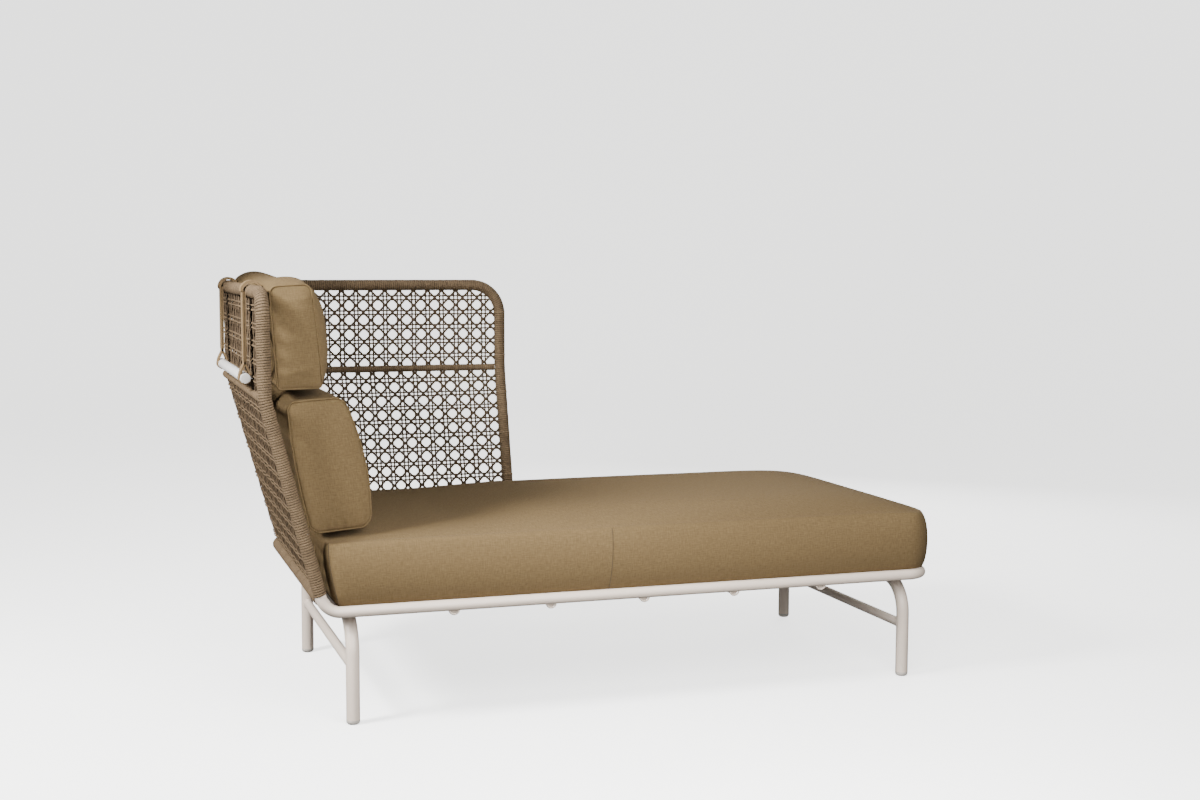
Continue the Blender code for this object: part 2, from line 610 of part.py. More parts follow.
paint = make_material("frame_paint", (0.72, 0.68, 0.63), 0.45)
plastic = make_material("glide_plastic", (0.62, 0.58, 0.53), 0.55)
rope = make_material("rope", (0.34, 0.26, 0.17), 0.85)
webbing = make_material("strap_webbing", (0.48, 0.37, 0.23), 0.80)
rod_paint = make_material("rod_paint", (0.80, 0.79, 0.77), 0.35)
fabric = make_material("cushion_fabric", (0.27, 0.20, 0.11), 0.95)

build_base(paint)
build_rail_plug(plastic)
build_legs(paint, plastic)
build_slats(paint)
build_back_tube(paint, rope)
build_bar("bottom", BOTTOM_BAR_HEIGHT, BACK_RADIUS, BACK_RADIUS - TUBE_WALL, paint, rope)
build_bar("mid", MID_BAR_HEIGHT, MID_RADIUS, None, paint, rope)
build_weaves(rope)
build_counterweight(webbing, rod_paint)
build_seat_cushion(fabric)
build_back_cushions(fabric)
stand_on_origin()
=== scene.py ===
import bisect
import math
import random

import bmesh
import bpy
from mathutils import Matrix, Quaternion, Vector, noise
from mathutils.bvhtree import BVHTree


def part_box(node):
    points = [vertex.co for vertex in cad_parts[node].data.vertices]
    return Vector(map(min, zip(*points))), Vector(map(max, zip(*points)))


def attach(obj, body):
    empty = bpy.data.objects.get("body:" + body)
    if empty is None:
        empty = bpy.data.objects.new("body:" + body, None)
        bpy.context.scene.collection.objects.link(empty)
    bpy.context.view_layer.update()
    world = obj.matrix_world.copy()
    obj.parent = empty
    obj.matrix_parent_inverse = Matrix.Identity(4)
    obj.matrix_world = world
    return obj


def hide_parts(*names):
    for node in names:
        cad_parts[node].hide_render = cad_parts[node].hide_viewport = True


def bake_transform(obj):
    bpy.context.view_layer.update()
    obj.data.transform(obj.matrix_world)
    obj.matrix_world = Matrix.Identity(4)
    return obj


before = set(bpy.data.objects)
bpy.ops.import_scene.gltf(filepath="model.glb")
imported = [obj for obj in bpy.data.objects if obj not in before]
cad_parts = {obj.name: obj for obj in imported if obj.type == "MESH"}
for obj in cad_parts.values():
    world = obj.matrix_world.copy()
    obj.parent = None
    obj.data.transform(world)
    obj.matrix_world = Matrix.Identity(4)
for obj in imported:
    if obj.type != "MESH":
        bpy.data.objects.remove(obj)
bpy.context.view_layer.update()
scene = bpy.context.scene

# Studio
# White floor that runs up into a dome and that only the camera sees, a bright lamp from the head end and a
# wide soft lamp from the front, each with a black flag that keeps it off the side panel, soft lamps overhead
# and behind, of which the last gives no gloss, and the camera at the photograph's angle.
CAMERA_SPOT = Vector((-1.16797, -3.79948, 1.012))
CAMERA_PITCH = math.radians(5.09)
CAMERA_YAW = math.radians(18.58)
CAMERA_ROLL = math.radians(0.22)
CAMERA_LENS = 48.14
CAMERA_SENSOR = 36.0
STAGE_RADIUS = 11.0
STAGE_FLAT = 7.0
STAGE_STEPS = 48
STAGE_BENDS = 8
STAGE_COLOUR = (0.88, 0.88, 0.87, 1.0)
STAGE_GLOW = 2.4
# Each flag has its middle and size; each lamp has its aim, distance, turn, height, size and power.
FLAGS = (("key_flag", Vector((-1.15, 0.42, 1.72)), (0.0, 1.06, 1.10)),
         ("front_flag", Vector((-0.22, -0.60, 0.85)), (0.46, 0.0, 0.34)))
FLAG_COLOUR = (0.01, 0.01, 0.01)
SKY_COLOUR = (1.0, 1.0, 1.0, 1.0)
SKY_STRENGTH = 0.17
LAMPS = (("key_lamp", (-0.2, 0.0, 0.60), 3.2, 201.5, 31.5, 0.9, 285.0),
         ("front_lamp", (0.50, -0.3, 0.42), 1.7, 250, 22, 1.4, 62.0),
         ("top_lamp", (0.1, 0.0, 0.40), 3.0, 250, 80, 1.8, 24.0),
         ("back_lamp", (0.0, 0.1, 0.45), 3.2, 48, 22, 2.0, 60.0))

camera_data = bpy.data.cameras.new("photo_camera")
camera_data.lens = CAMERA_LENS
camera_data.sensor_width = CAMERA_SENSOR
camera = bpy.data.objects.new("photo_camera", camera_data)
scene.collection.objects.link(camera)
camera.matrix_world = (Matrix.Translation(CAMERA_SPOT) @ Matrix.Rotation(-CAMERA_YAW, 4, "Z")
                       @ Matrix.Rotation(math.pi / 2 - CAMERA_PITCH, 4, "X")
                       @ Matrix.Rotation(CAMERA_ROLL, 4, "Z"))
scene.camera = camera


def new_finish(name, colour, roughness):
    """Material with a Principled shader, that shader, and the material's node tree."""
    finish = bpy.data.materials.new(name)
    finish.use_nodes = True
    shader = finish.node_tree.nodes["Principled BSDF"]
    shader.inputs["Base Color"].default_value = (*colour[:3], 1.0)
    shader.inputs["Roughness"].default_value = roughness
    return finish, shader, finish.node_tree


def make_piece(name, mesh, finish):
    """Object at the origin with one finish."""
    piece = bpy.data.objects.new(name, mesh)
    scene.collection.objects.link(piece)
    mesh.materials.clear()
    mesh.materials.append(finish)
    return piece


def smooth_mesh(shape, name, sharp=None):
    """Mesh of a finished bmesh, shaded smooth, with the edges past an angle in degrees left sharp."""
    mesh = bpy.data.meshes.new(name)
    shape.to_mesh(mesh)
    shape.free()
    mesh.shade_smooth()
    if sharp:
        mesh.set_sharp_from_angle(angle=math.radians(sharp))
    return mesh


def spin_profile(profile, steps):
    """Skin turned about the upright axis; the profile gives radius and height."""
    shape = bmesh.new()
    points = [shape.verts.new((radius, 0.0, height)) for radius, height in profile]
    edges = [shape.edges.new(pair) for pair in zip(points, points[1:])]
    bmesh.ops.spin(shape, geom=points + edges, axis=(0, 0, 1), cent=(0, 0, 0),
                   angle=2 * math.pi, steps=steps, use_merge=True)
    bmesh.ops.remove_doubles(shape, verts=shape.verts, dist=1e-6)
    return shape


def even_turns(whole, steps):
    """Angles from nothing to a whole turn or part of one, in even steps."""
    return [whole * step / steps for step in range(steps + 1)]


turn_radius = STAGE_RADIUS - STAGE_FLAT
bends = even_turns(math.pi / 2, STAGE_BENDS)[1:]
profile = [(0.0, 0.0), (STAGE_FLAT / 2, 0.0), (STAGE_FLAT, 0.0)]
profile += [(STAGE_FLAT + turn_radius * math.sin(turn), turn_radius * (1 - math.cos(turn))) for turn in bends]
profile += [(STAGE_RADIUS * math.cos(turn), turn_radius + STAGE_RADIUS * math.sin(turn)) for turn in bends]
stage_mesh = smooth_mesh(spin_profile(profile, STAGE_STEPS), "studio_stage")
stage_finish, stage_shader, _ = new_finish("studio_white", STAGE_COLOUR, roughness=0.9)
stage_shader.inputs["Emission Color"].default_value = STAGE_COLOUR
stage_shader.inputs["Emission Strength"].default_value = STAGE_GLOW
studio_stage = make_piece("studio_stage", stage_mesh, stage_finish)
for ray_kind in ("diffuse", "glossy", "transmission", "shadow"):
    setattr(studio_stage, f"visible_{ray_kind}", False)

sky = bpy.data.worlds.new("studio_sky")
scene.world = sky
sky.use_nodes = True
sky_light = sky.node_tree.nodes["Background"].inputs
sky_light["Color"].default_value = SKY_COLOUR
sky_light["Strength"].default_value = SKY_STRENGTH

for name, aim, distance, turn, height, size, power in LAMPS:
    lamp_data = bpy.data.lights.new(name, "AREA")
    lamp_data.shape = "DISK"
    lamp_data.size = size
    lamp_data.energy = power
    lamp = bpy.data.objects.new(name, lamp_data)
    lamp.visible_camera = False
    lamp.visible_glossy = name != "back_lamp"
    scene.collection.objects.link(lamp)
    turn, height = math.radians(turn), math.radians(height)
    ray = Vector((math.cos(turn) * math.cos(height), math.sin(turn) * math.cos(height), math.sin(height)))
    lamp.location = Vector(aim) + ray * distance
    lamp.rotation_euler = ray.to_track_quat("Z", "Y").to_euler()

flag_finish, _, _ = new_finish("studio_black", FLAG_COLOUR, roughness=1.0)
for name, place, size in FLAGS:
    flag_shape = bmesh.new()
    low, high = place - Vector(size) / 2, place + Vector(size) / 2
    flag_shape.faces.new([flag_shape.verts.new(corner) for corner in
                          (low, (high.x, high.y, low.z), high, (low.x, low.y, high.z))])
    flag = make_piece(name, smooth_mesh(flag_shape, name), flag_finish)
    for ray_kind in ("camera", "diffuse", "glossy"):
        setattr(flag, f"visible_{ray_kind}", False)

# Base rails
# One steel tube bent round the base: it rises into the back at the open head corner, runs down the open side,
# round the foot end and back along the panelled side. Powder coated in a warm off-white.
LEG_HEAD_SETBACK = 0.066
BASE_LENGTH = 1.446
BASE_WIDTH = 0.773
RAIL_HEIGHT = 0.259
RAIL_RADIUS = 0.0125
FOOT_CORNER_RADIUS = 0.055
RISE_BEND_RADIUS = 0.046
LOWER_LEAN = math.radians(14.7)
WRAP_START = 0.0395
FAR_RAIL_START = 0.030
BEND_STEP = math.radians(6)
TUBE_LEVEL = 10
TUBE_SHARP = 50
PAINT_COLOUR = (0.700, 0.592, 0.496)
PAINT_SHADE = (0.650, 0.549, 0.458)

glide_low, glide_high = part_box("head_near_glide")
rail_low, rail_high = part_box("near_side_rail")
ORIGIN = Vector(((glide_low.x + glide_high.x) / 2 - LEG_HEAD_SETBACK, (rail_low.y + rail_high.y) / 2, 0.0))


def spot(x, y, z):
    """Point in the frame, from the head line, the open side's rail and the floor."""
    return ORIGIN + Vector((x, y, z))


def bent_route(corners, radii):
    """Centre line through corners rounded to their radii, with the marks where its bends begin and end."""
    route = [corners[0]]
    bend_ends = []
    for before, corner, after, radius in zip(corners, corners[1:], corners[2:], radii):
        back = (before - corner).normalized()
        ahead = (after - corner).normalized()
        opening = back.angle(ahead)
        centre = corner + (back + ahead).normalized() * radius / math.sin(opening / 2)
        spoke = corner + back * radius / math.tan(opening / 2) - centre
        turn = math.pi - opening
        steps = max(2, math.ceil(turn / BEND_STEP))
        axis = ahead.cross(back).normalized()
        bend_ends.append(len(route))
        route.extend(centre + Quaternion(axis, turn * step / steps) @ spoke for step in range(steps + 1))
        bend_ends.append(len(route) - 1)
    route.append(corners[-1])
    marks = route_marks(route)
    return route, [marks[index] for index in bend_ends]


def route_marks(route):
    """Distance along a route of each of its points."""
    marks = [0.0]
    for first, second in zip(route, route[1:]):
        marks.append(marks[-1] + (second - first).length)
    return marks


def sweep(name, routes, radius, level, closed=False):
    """Mesh of round bars along routes, with closed ends."""
    curve = bpy.data.curves.new(name, "CURVE")
    curve.dimensions = "3D"
    curve.bevel_depth = radius
    curve.bevel_resolution = level
    curve.use_fill_caps = not closed
    for route in routes:
        spline = curve.splines.new("POLY")
        spline.points.add(len(route) - 1)
        spline.use_cyclic_u = closed
        for knot, point in zip(spline.points, route):
            knot.co = (*point, 1.0)
    holder = bpy.data.objects.new(name, curve)
    scene.collection.objects.link(holder)
    graph = bpy.context.evaluated_depsgraph_get()
    mesh = bpy.data.meshes.new_from_object(holder.evaluated_get(graph))
    bpy.data.objects.remove(holder)
    bpy.data.curves.remove(curve)
    shape = bmesh.new()
    shape.from_mesh(mesh)
    bmesh.ops.remove_doubles(shape, verts=shape.verts, dist=1e-6)
    bmesh.ops.recalc_face_normals(shape, faces=shape.faces)
    shape.to_mesh(mesh)
    shape.free()
    mesh.shade_smooth()
    mesh.set_sharp_from_angle(angle=math.radians(TUBE_SHARP))
    return mesh


def add_node(tree, kind, sockets=None, **settings):
    """Shader node of a kind, with its settings and the values on its sockets."""
    made = tree.nodes.new(f"ShaderNode{kind}")
    for key, value in settings.items():
        setattr(made, key, value)
    for key, value in (sockets or {}).items():
        made.inputs[key].default_value = value
    return made


def add_tint(tree, first, second):
    """Mix of two colours."""
    return add_node(tree, "Mix", {"A": (*first, 1.0), "B": (*second, 1.0)}, data_type="RGBA")


def wire(tree, *links):
    """Joins nodes: each link is a node, its output, the node it goes to and the input there."""
    for source, output, target, socket in links:
        tree.links.new(source.outputs[output], target.inputs[socket])


def coat_finish(name, colour, shade, roughness, cloud_scale, cloud_detail,
                peel_scale, peel_strength, peel_depth):
    """Sprayed coat with a faint cloudy tone and a fine peel."""
    finish, shader, tree = new_finish(name, colour, roughness)
    place = add_node(tree, "TexCoord")
    cloud = add_node(tree, "TexNoise", {"Scale": cloud_scale, "Detail": cloud_detail})
    tint = add_tint(tree, colour, shade)
    peel = add_node(tree, "TexNoise", {"Scale": peel_scale, "Detail": 2.0})
    bump = add_node(tree, "Bump", {"Strength": peel_strength, "Distance": peel_depth})
    wire(tree, (place, "Object", cloud, "Vector"), (place, "Object", peel, "Vector"),
         (cloud, "Fac", tint, "Factor"), (tint, "Result", shader, "Base Color"),
         (peel, "Fac", bump, "Height"), (bump, "Normal", shader, "Normal"))
    return finish


paint = coat_finish("frame_powder_coat", PAINT_COLOUR, PAINT_SHADE, roughness=0.42, cloud_scale=9.0,
                    cloud_detail=4.0, peel_scale=1400.0, peel_strength=0.12, peel_depth=0.0004)

lean = Vector((-math.sin(LOWER_LEAN), 0.0, math.cos(LOWER_LEAN)))
near_corner = spot(0.0, 0.0, RAIL_HEIGHT)
rail_route, _ = bent_route(
    [near_corner + lean * WRAP_START, near_corner, spot(BASE_LENGTH, 0.0, RAIL_HEIGHT),
     spot(BASE_LENGTH, BASE_WIDTH, RAIL_HEIGHT), spot(FAR_RAIL_START, BASE_WIDTH, RAIL_HEIGHT)],
    [RISE_BEND_RADIUS, FOOT_CORNER_RADIUS, FOOT_CORNER_RADIUS])
base_rail = make_piece("base_rail", sweep("base_rail", [rail_route], RAIL_RADIUS, TUBE_LEVEL), paint)
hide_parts("near_side_rail", "foot_end_rail", "far_side_rail")
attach(base_rail, "frame")

# Rail plug
# Moulded plastic plug with a rounded head, pushed into the panelled side's rail at the head end.
PLUG_HEAD = 0.004
PLUG_ROUNDING = 0.0025
PLUG_STEM = 0.025
PLUG_STEM_RADIUS = 0.0098
TURN_STEPS = 40
ROUND_STEPS = 5
TURNED_SHARP = 40
PLASTIC_COLOUR = (0.50, 0.46, 0.41)
AXIS_X, AXIS_Y, AXIS_Z = Vector((1, 0, 0)), Vector((0, 1, 0)), Vector((0, 0, 1))


def turned(name, profile, centre, axis):
    """Solid turned about an axis through a point; the profile gives radius and distance along the axis."""
    shape = spin_profile(profile, TURN_STEPS)
    bmesh.ops.recalc_face_normals(shape, faces=shape.faces)
    turn = AXIS_Z.rotation_difference(axis).to_matrix().to_4x4()
    bmesh.ops.transform(shape, verts=shape.verts, matrix=Matrix.Translation(centre) @ turn)
    return smooth_mesh(shape, name, TURNED_SHARP)


def rounded(radius, level, rounding):
    """Quarter round from a flat face at a level to a wall of a radius, as profile points."""
    return [(radius - rounding + rounding * math.sin(turn), level + rounding * (1 - math.cos(turn)))
            for turn in even_turns(math.pi / 2, ROUND_STEPS)]


plastic, plastic_shader, tree = new_finish("moulded_plastic", PLASTIC_COLOUR, roughness=0.5)
place = add_node(tree, "TexCoord")
grain = add_node(tree, "TexNoise", {"Scale": 900.0})
scuff = add_node(tree, "TexNoise", {"Scale": 60.0, "Detail": 5.0})
wear = add_node(tree, "MapRange", {"To Min": 0.42, "To Max": 0.62})
grain_bump = add_node(tree, "Bump", {"Strength": 0.15, "Distance": 0.0003})
wire(tree, (place, "Object", grain, "Vector"), (place, "Object", scuff, "Vector"),
     (scuff, "Fac", wear, "Value"), (wear, "Result", plastic_shader, "Roughness"),
     (grain, "Fac", grain_bump, "Height"), (grain_bump, "Normal", plastic_shader, "Normal"))

plug_profile = [(0.0, 0.0), *rounded(RAIL_RADIUS, 0.0, PLUG_ROUNDING), (RAIL_RADIUS, PLUG_HEAD),
                (PLUG_STEM_RADIUS, PLUG_HEAD), (PLUG_STEM_RADIUS, PLUG_HEAD + PLUG_STEM),
                (0.0, PLUG_HEAD + PLUG_STEM)]
plug_spot = spot(FAR_RAIL_START - PLUG_HEAD, BASE_WIDTH, RAIL_HEIGHT)
rail_end_plug = make_piece("rail_end_plug", turned("plug", plug_profile, plug_spot, AXIS_X), plastic)
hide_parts("far_rail_plug")
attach(rail_end_plug, "frame")

# Leg frames
# Each pair of legs is one tube bent twice, with a thinner stretcher and a cross bar between the side rails
# welded to it, and a rounded plastic glide pressed into each foot.
LEG_RADIUS = 0.015
LEG_BEND_RADIUS = 0.078
LEG_FOOT_X = 1.406
LEG_SIDE_SETBACK = 0.050
LEG_TOP_HEIGHT = 0.2312
STRETCHER_HEIGHT = 0.127
STRETCHER_RADIUS = 0.011
CROSS_BAR_RADIUS = 0.0125
GLIDE_HEIGHT = 0.010
GLIDE_ROUNDING = 0.007
GLIDE_STEM = 0.025
GLIDE_STEM_RADIUS = 0.012
GLIDE_GROOVE = 0.0006
BEAD_RADIUS = 0.0021
BEAD_STEPS = 36
STITCH_LENGTH = 0.026
STITCH_PLACES = (0.22, 0.5, 0.78)
STITCH_SPREAD = 0.0072
STITCH_POINTS = (-0.5, -0.25, 0.0, 0.25, 0.5)
BEAD_LEVEL = 2


def weld_bead(centre, along, across, bar_radius, host_radius, offset=0.0):
    """Closed line where a round bar along one direction meets a round tube that runs across it."""
    side = along.cross(across)
    line = []
    for step in range(BEAD_STEPS):
        turn = 2 * math.pi * step / BEAD_STEPS
        aside = offset + bar_radius * math.cos(turn)
        reach = math.sqrt(max(host_radius ** 2 - aside ** 2, 0.0))
        line.append(centre + side * aside + across * bar_radius * math.sin(turn) + along * reach)
    return line


near_leg_y = LEG_SIDE_SETBACK
far_leg_y = BASE_WIDTH - LEG_SIDE_SETBACK
glide_profile = [(0.0, 0.0), *rounded(LEG_RADIUS, 0.0, GLIDE_ROUNDING),
                 (LEG_RADIUS, GLIDE_HEIGHT - GLIDE_GROOVE), (LEG_RADIUS - GLIDE_GROOVE, GLIDE_HEIGHT),
                 (GLIDE_STEM_RADIUS, GLIDE_HEIGHT),
                 (GLIDE_STEM_RADIUS, GLIDE_HEIGHT + GLIDE_STEM), (0.0, GLIDE_HEIGHT + GLIDE_STEM)]
for end, leg_x in (("head", LEG_HEAD_SETBACK), ("foot", LEG_FOOT_X)):
    leg_route, _ = bent_route(
        [spot(leg_x, near_leg_y, GLIDE_HEIGHT), spot(leg_x, near_leg_y, LEG_TOP_HEIGHT),
         spot(leg_x, far_leg_y, LEG_TOP_HEIGHT), spot(leg_x, far_leg_y, GLIDE_HEIGHT)],
        [LEG_BEND_RADIUS, LEG_BEND_RADIUS])
    legs = make_piece(f"{end}_legs", sweep("legs", [leg_route], LEG_RADIUS, TUBE_LEVEL), paint)
    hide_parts(f"{end}_leg_frame")

    cross_low, cross_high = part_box(f"{end}_cross_bar")
    cross_route = [spot(leg_x, cross_low.y - ORIGIN.y, RAIL_HEIGHT),
                   spot(leg_x, cross_high.y - ORIGIN.y, RAIL_HEIGHT)]
    cross_bar = make_piece(f"{end}_cross_tube",
                           sweep("cross", [cross_route], CROSS_BAR_RADIUS, TUBE_LEVEL), paint)
    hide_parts(f"{end}_cross_bar")

    stretcher_route = [spot(leg_x, near_leg_y + LEG_RADIUS / 2, STRETCHER_HEIGHT),
                       spot(leg_x, far_leg_y - LEG_RADIUS / 2, STRETCHER_HEIGHT)]
    stretcher = make_piece(f"{end}_leg_stretcher",
                           sweep("stretcher", [stretcher_route], STRETCHER_RADIUS, TUBE_LEVEL), paint)
    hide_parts(f"{end}_stretcher")

    beads = [weld_bead(spot(leg_x, y, STRETCHER_HEIGHT), AXIS_Y * way, AXIS_Z, STRETCHER_RADIUS, LEG_RADIUS)
             for y, way in ((near_leg_y, 1), (far_leg_y, -1))]
    leg_welds = make_piece(f"{end}_stretcher_welds",
                           sweep("welds", beads, BEAD_RADIUS, BEAD_LEVEL, closed=True), paint)
    stitches = []
    for share in STITCH_PLACES:
        middle = near_leg_y + (far_leg_y - near_leg_y) * share
        for way in (-1, 1):
            stitches.append([spot(leg_x + way * STITCH_SPREAD, middle + shift * STITCH_LENGTH,
                                  RAIL_HEIGHT - CROSS_BAR_RADIUS) for shift in STITCH_POINTS])
    bar_welds = make_piece(f"{end}_cross_welds", sweep("welds", stitches, BEAD_RADIUS, BEAD_LEVEL), paint)

    for piece in (legs, cross_bar, stretcher, leg_welds, bar_welds):
        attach(piece, "frame")
    for side, leg_y in (("near", near_leg_y), ("far", far_leg_y)):
        foot_mesh = turned("foot", glide_profile, spot(leg_x, leg_y, 0.0), AXIS_Z)
        foot = make_piece(f"{end}_{side}_foot", foot_mesh, plastic)
        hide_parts(f"{end}_{side}_glide")
        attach(foot, "frame")

# Seat slats
# Five round steel bars under the seat cushion, welded between the side rails a little below their tops.
SLAT_COUNT = 5
SLAT_FIRST = 0.280
SLAT_PITCH = 0.220
SLAT_DROP = 0.010
SLAT_RADIUS = 0.011
SLAT_LEVEL = 8

for number in range(SLAT_COUNT):
    slat_x = SLAT_FIRST + SLAT_PITCH * number
    slat_route = [spot(slat_x, y, RAIL_HEIGHT - SLAT_DROP)
                  for y in (RAIL_RADIUS / 2, BASE_WIDTH - RAIL_RADIUS / 2)]
    slat = make_piece(f"seat_slat_{number + 1}", sweep("slat", [slat_route], SLAT_RADIUS, SLAT_LEVEL), paint)
    beads = [weld_bead(spot(slat_x, y, RAIL_HEIGHT), AXIS_Y * way, AXIS_X, SLAT_RADIUS, RAIL_RADIUS, drop)
             for y, way, drop in ((0.0, 1, SLAT_DROP), (BASE_WIDTH, -1, -SLAT_DROP))]
    slat_welds = make_piece(f"slat_welds_{number + 1}",
                            sweep("welds", beads, BEAD_RADIUS, BEAD_LEVEL, closed=True), paint)
    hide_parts(f"slat_{number + 1}")
    for piece in (slat, slat_welds):
        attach(piece, "frame")

# Back tube
# The bent tube of the back: up the open edge, along the top, round the corner and down the side edge,
# with a bottom bar on the rails and a thin middle bar. All of it is later wound with cord.
MID_BAR_HEIGHT = 0.712
TOP_RAIL_HEIGHT = 0.9355
SIDE_PANEL_LENGTH = 0.621
UPPER_LEAN = math.radians(0.8)
BACK_RADIUS = 0.0125
MID_RADIUS = 0.007
CORD_THICKNESS = 0.002
BAR_CLEARANCE = 0.0003
CORE_LEVEL = 4
WRAP_RADIUS = BACK_RADIUS + CORD_THICKNESS
BOTTOM_BAR_HEIGHT = RAIL_HEIGHT + RAIL_RADIUS + BAR_CLEARANCE + WRAP_RADIUS
PROFILE_BEND_RADIUS = 0.120
NEAR_TOP_RADIUS = 0.045
CORNER_RADIUS = 0.080
SIDE_TOP_RADIUS = 0.078
BEND_LEAD = 0.004
WRAP_END_MARGIN = 0.022


def outset(height):
    """How far the back stands outside the base line at a height."""
    lower = min(height, MID_BAR_HEIGHT) - RAIL_HEIGHT
    upper = max(height - MID_BAR_HEIGHT, 0.0)
    return lower * math.tan(LOWER_LEAN) + upper * math.tan(UPPER_LEAN)


def end_spot(y, height):
    """Point of the end panel's middle surface."""
    return spot(-outset(height), y, height)


def side_spot(x, height):
    """Point of the side panel's middle surface."""
    return spot(x, BASE_WIDTH + outset(height), height)


side_lean = Vector((0.0, math.sin(LOWER_LEAN), math.cos(LOWER_LEAN)))
top_out = outset(TOP_RAIL_HEIGHT)
back_route, back_bends = bent_route(
    [near_corner + lean * WRAP_START, end_spot(0.0, MID_BAR_HEIGHT), end_spot(0.0, TOP_RAIL_HEIGHT),
     spot(-top_out, BASE_WIDTH + top_out, TOP_RAIL_HEIGHT), side_spot(SIDE_PANEL_LENGTH, TOP_RAIL_HEIGHT),
     side_spot(SIDE_PANEL_LENGTH, MID_BAR_HEIGHT),
     spot(SIDE_PANEL_LENGTH, BASE_WIDTH, RAIL_HEIGHT) + side_lean * RAIL_RADIUS],
    [PROFILE_BEND_RADIUS, NEAR_TOP_RADIUS, CORNER_RADIUS, SIDE_TOP_RADIUS, PROFILE_BEND_RADIUS])


def bar_route(height):
    """Centre line of a bar round the corner, from one upright edge to the other, with its bend's marks."""
    out = outset(height)
    return bent_route([end_spot(WRAP_RADIUS, height), spot(-out, BASE_WIDTH + out, height),
                       side_spot(SIDE_PANEL_LENGTH - WRAP_RADIUS, height)], [CORNER_RADIUS])


bottom_route, bottom_bend = bar_route(BOTTOM_BAR_HEIGHT)
mid_route, mid_bend = bar_route(MID_BAR_HEIGHT)
for name, route, radius in (("back", back_route, BACK_RADIUS), ("bottom", bottom_route, BACK_RADIUS),
                            ("mid", mid_route, MID_RADIUS)):
    node = "back_tube" if name == "back" else f"{name}_bar"
    core = make_piece(f"{name}_core", sweep("core", [route], radius, CORE_LEVEL), paint)
    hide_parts(node)
    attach(core, "frame")

# Cord winding
# Twisted outdoor cord wound tightly round the back's tubes, turn beside turn, pressed a little flat.
# Each stretch is wound straight and then laid along its bent tube.
CORD_PITCH = 0.0054
CORD_SIDES = 6
WIND_STEPS = 12
PITCH_SPREAD = 0.10
CORD_OVERLAP = 0.56
# How much the groove attribute darkens the cord; that attribute is painted shade in the grooves between wound
# turns and on the weave's inner side, with the winding's random turn tone mixed in.
GROOVE_SHADE = 2.4
TURN_TONE = 0.045
TWIST_LENGTH = 0.0045
CORD_PRESS = 0.0002
TURN_SINK = -0.0002
TURN_RISE = 0.00025
CORD_TONE = 0.35
TONE_SHIFT = -0.32
PATCH_TONE = 0.9
PLY_TONE = 0.16
PLY_HEIGHT = 0.6
ROPE_LIGHT = (0.162, 0.110, 0.061)
ROPE_DARK = (0.060, 0.040, 0.023)


def rope_finish(name, light, dark):
    """Twisted cord: plies that run round it, fibres, a tone that changes from cord to cord, and painted shade
    from the groove attribute.
    """
    finish, shader, tree = new_finish(name, light, roughness=0.8)
    shader.inputs["Specular IOR Level"].default_value = 0.2
    place = add_node(tree, "TexCoord")
    twist = add_node(tree, "Attribute", attribute_name="twist")
    ply = add_node(tree, "Math", operation="SINE")
    island = add_node(tree, "NewGeometry")
    patch = add_node(tree, "TexNoise", {"Scale": 38.0, "Detail": 3.0})
    fibre = add_node(tree, "TexNoise", {"Scale": 900.0, "Detail": 3.0})
    # The groove attribute darkens the cord towards ROPE_DARK: painted shade, with the winding's random turn
    # tone mixed in.
    groove = add_node(tree, "Attribute", attribute_name="groove")
    cord_tone, patch_tone, ply_tone, groove_shade, height = (
        add_node(tree, "Math", {1: share}, operation="MULTIPLY_ADD")
        for share in (CORD_TONE, PATCH_TONE, PLY_TONE, GROOVE_SHADE, PLY_HEIGHT))
    cord_tone.inputs[2].default_value = TONE_SHIFT
    groove_shade.use_clamp = True
    tint = add_tint(tree, light, dark)
    bump = add_node(tree, "Bump", {"Strength": 0.6, "Distance": 0.0006})
    wire(tree, (place, "Object", patch, "Vector"), (place, "Object", fibre, "Vector"), (twist, "Fac", ply, 0),
         (island, "Random Per Island", cord_tone, 0), (patch, "Fac", patch_tone, 0),
         (cord_tone, "Value", patch_tone, 2), (ply, "Value", ply_tone, 0), (patch_tone, "Value", ply_tone, 2),
         (groove, "Fac", groove_shade, 0), (ply_tone, "Value", groove_shade, 2),
         (groove_shade, "Value", tint, "Factor"), (tint, "Result", shader, "Base Color"),
         (ply, "Value", height, 0), (fibre, "Fac", height, 2),
         (height, "Value", bump, "Height"), (bump, "Normal", shader, "Normal"))
    return finish


rope = rope_finish("wound_cord", ROPE_LIGHT, ROPE_DARK)


def route_frames(route):
    """Marks along a route and, at each point, the point and two directions square to it."""
    marks = route_marks(route)
    ways = [(second - first).normalized() for first, second in zip(route, route[1:])]
    aside = ways[0].orthogonal().normalized()
    frames = []
    for index, point in enumerate(route):
        way = (ways[max(index - 1, 0)] + ways[min(index, len(ways) - 1)]).normalized()
        aside = (aside - way * aside.dot(way)).normalized()
        frames.append((point, aside, way.cross(aside)))
    return marks, frames


def lay_along(marks, frames, distance):
    """Point and two square directions at a distance along a route."""
    index = min(max(bisect.bisect_left(marks, distance) - 1, 0), len(marks) - 2)
    share = (distance - marks[index]) / (marks[index + 1] - marks[index])
    return tuple(first.lerp(second, share) for first, second in zip(frames[index], frames[index + 1]))


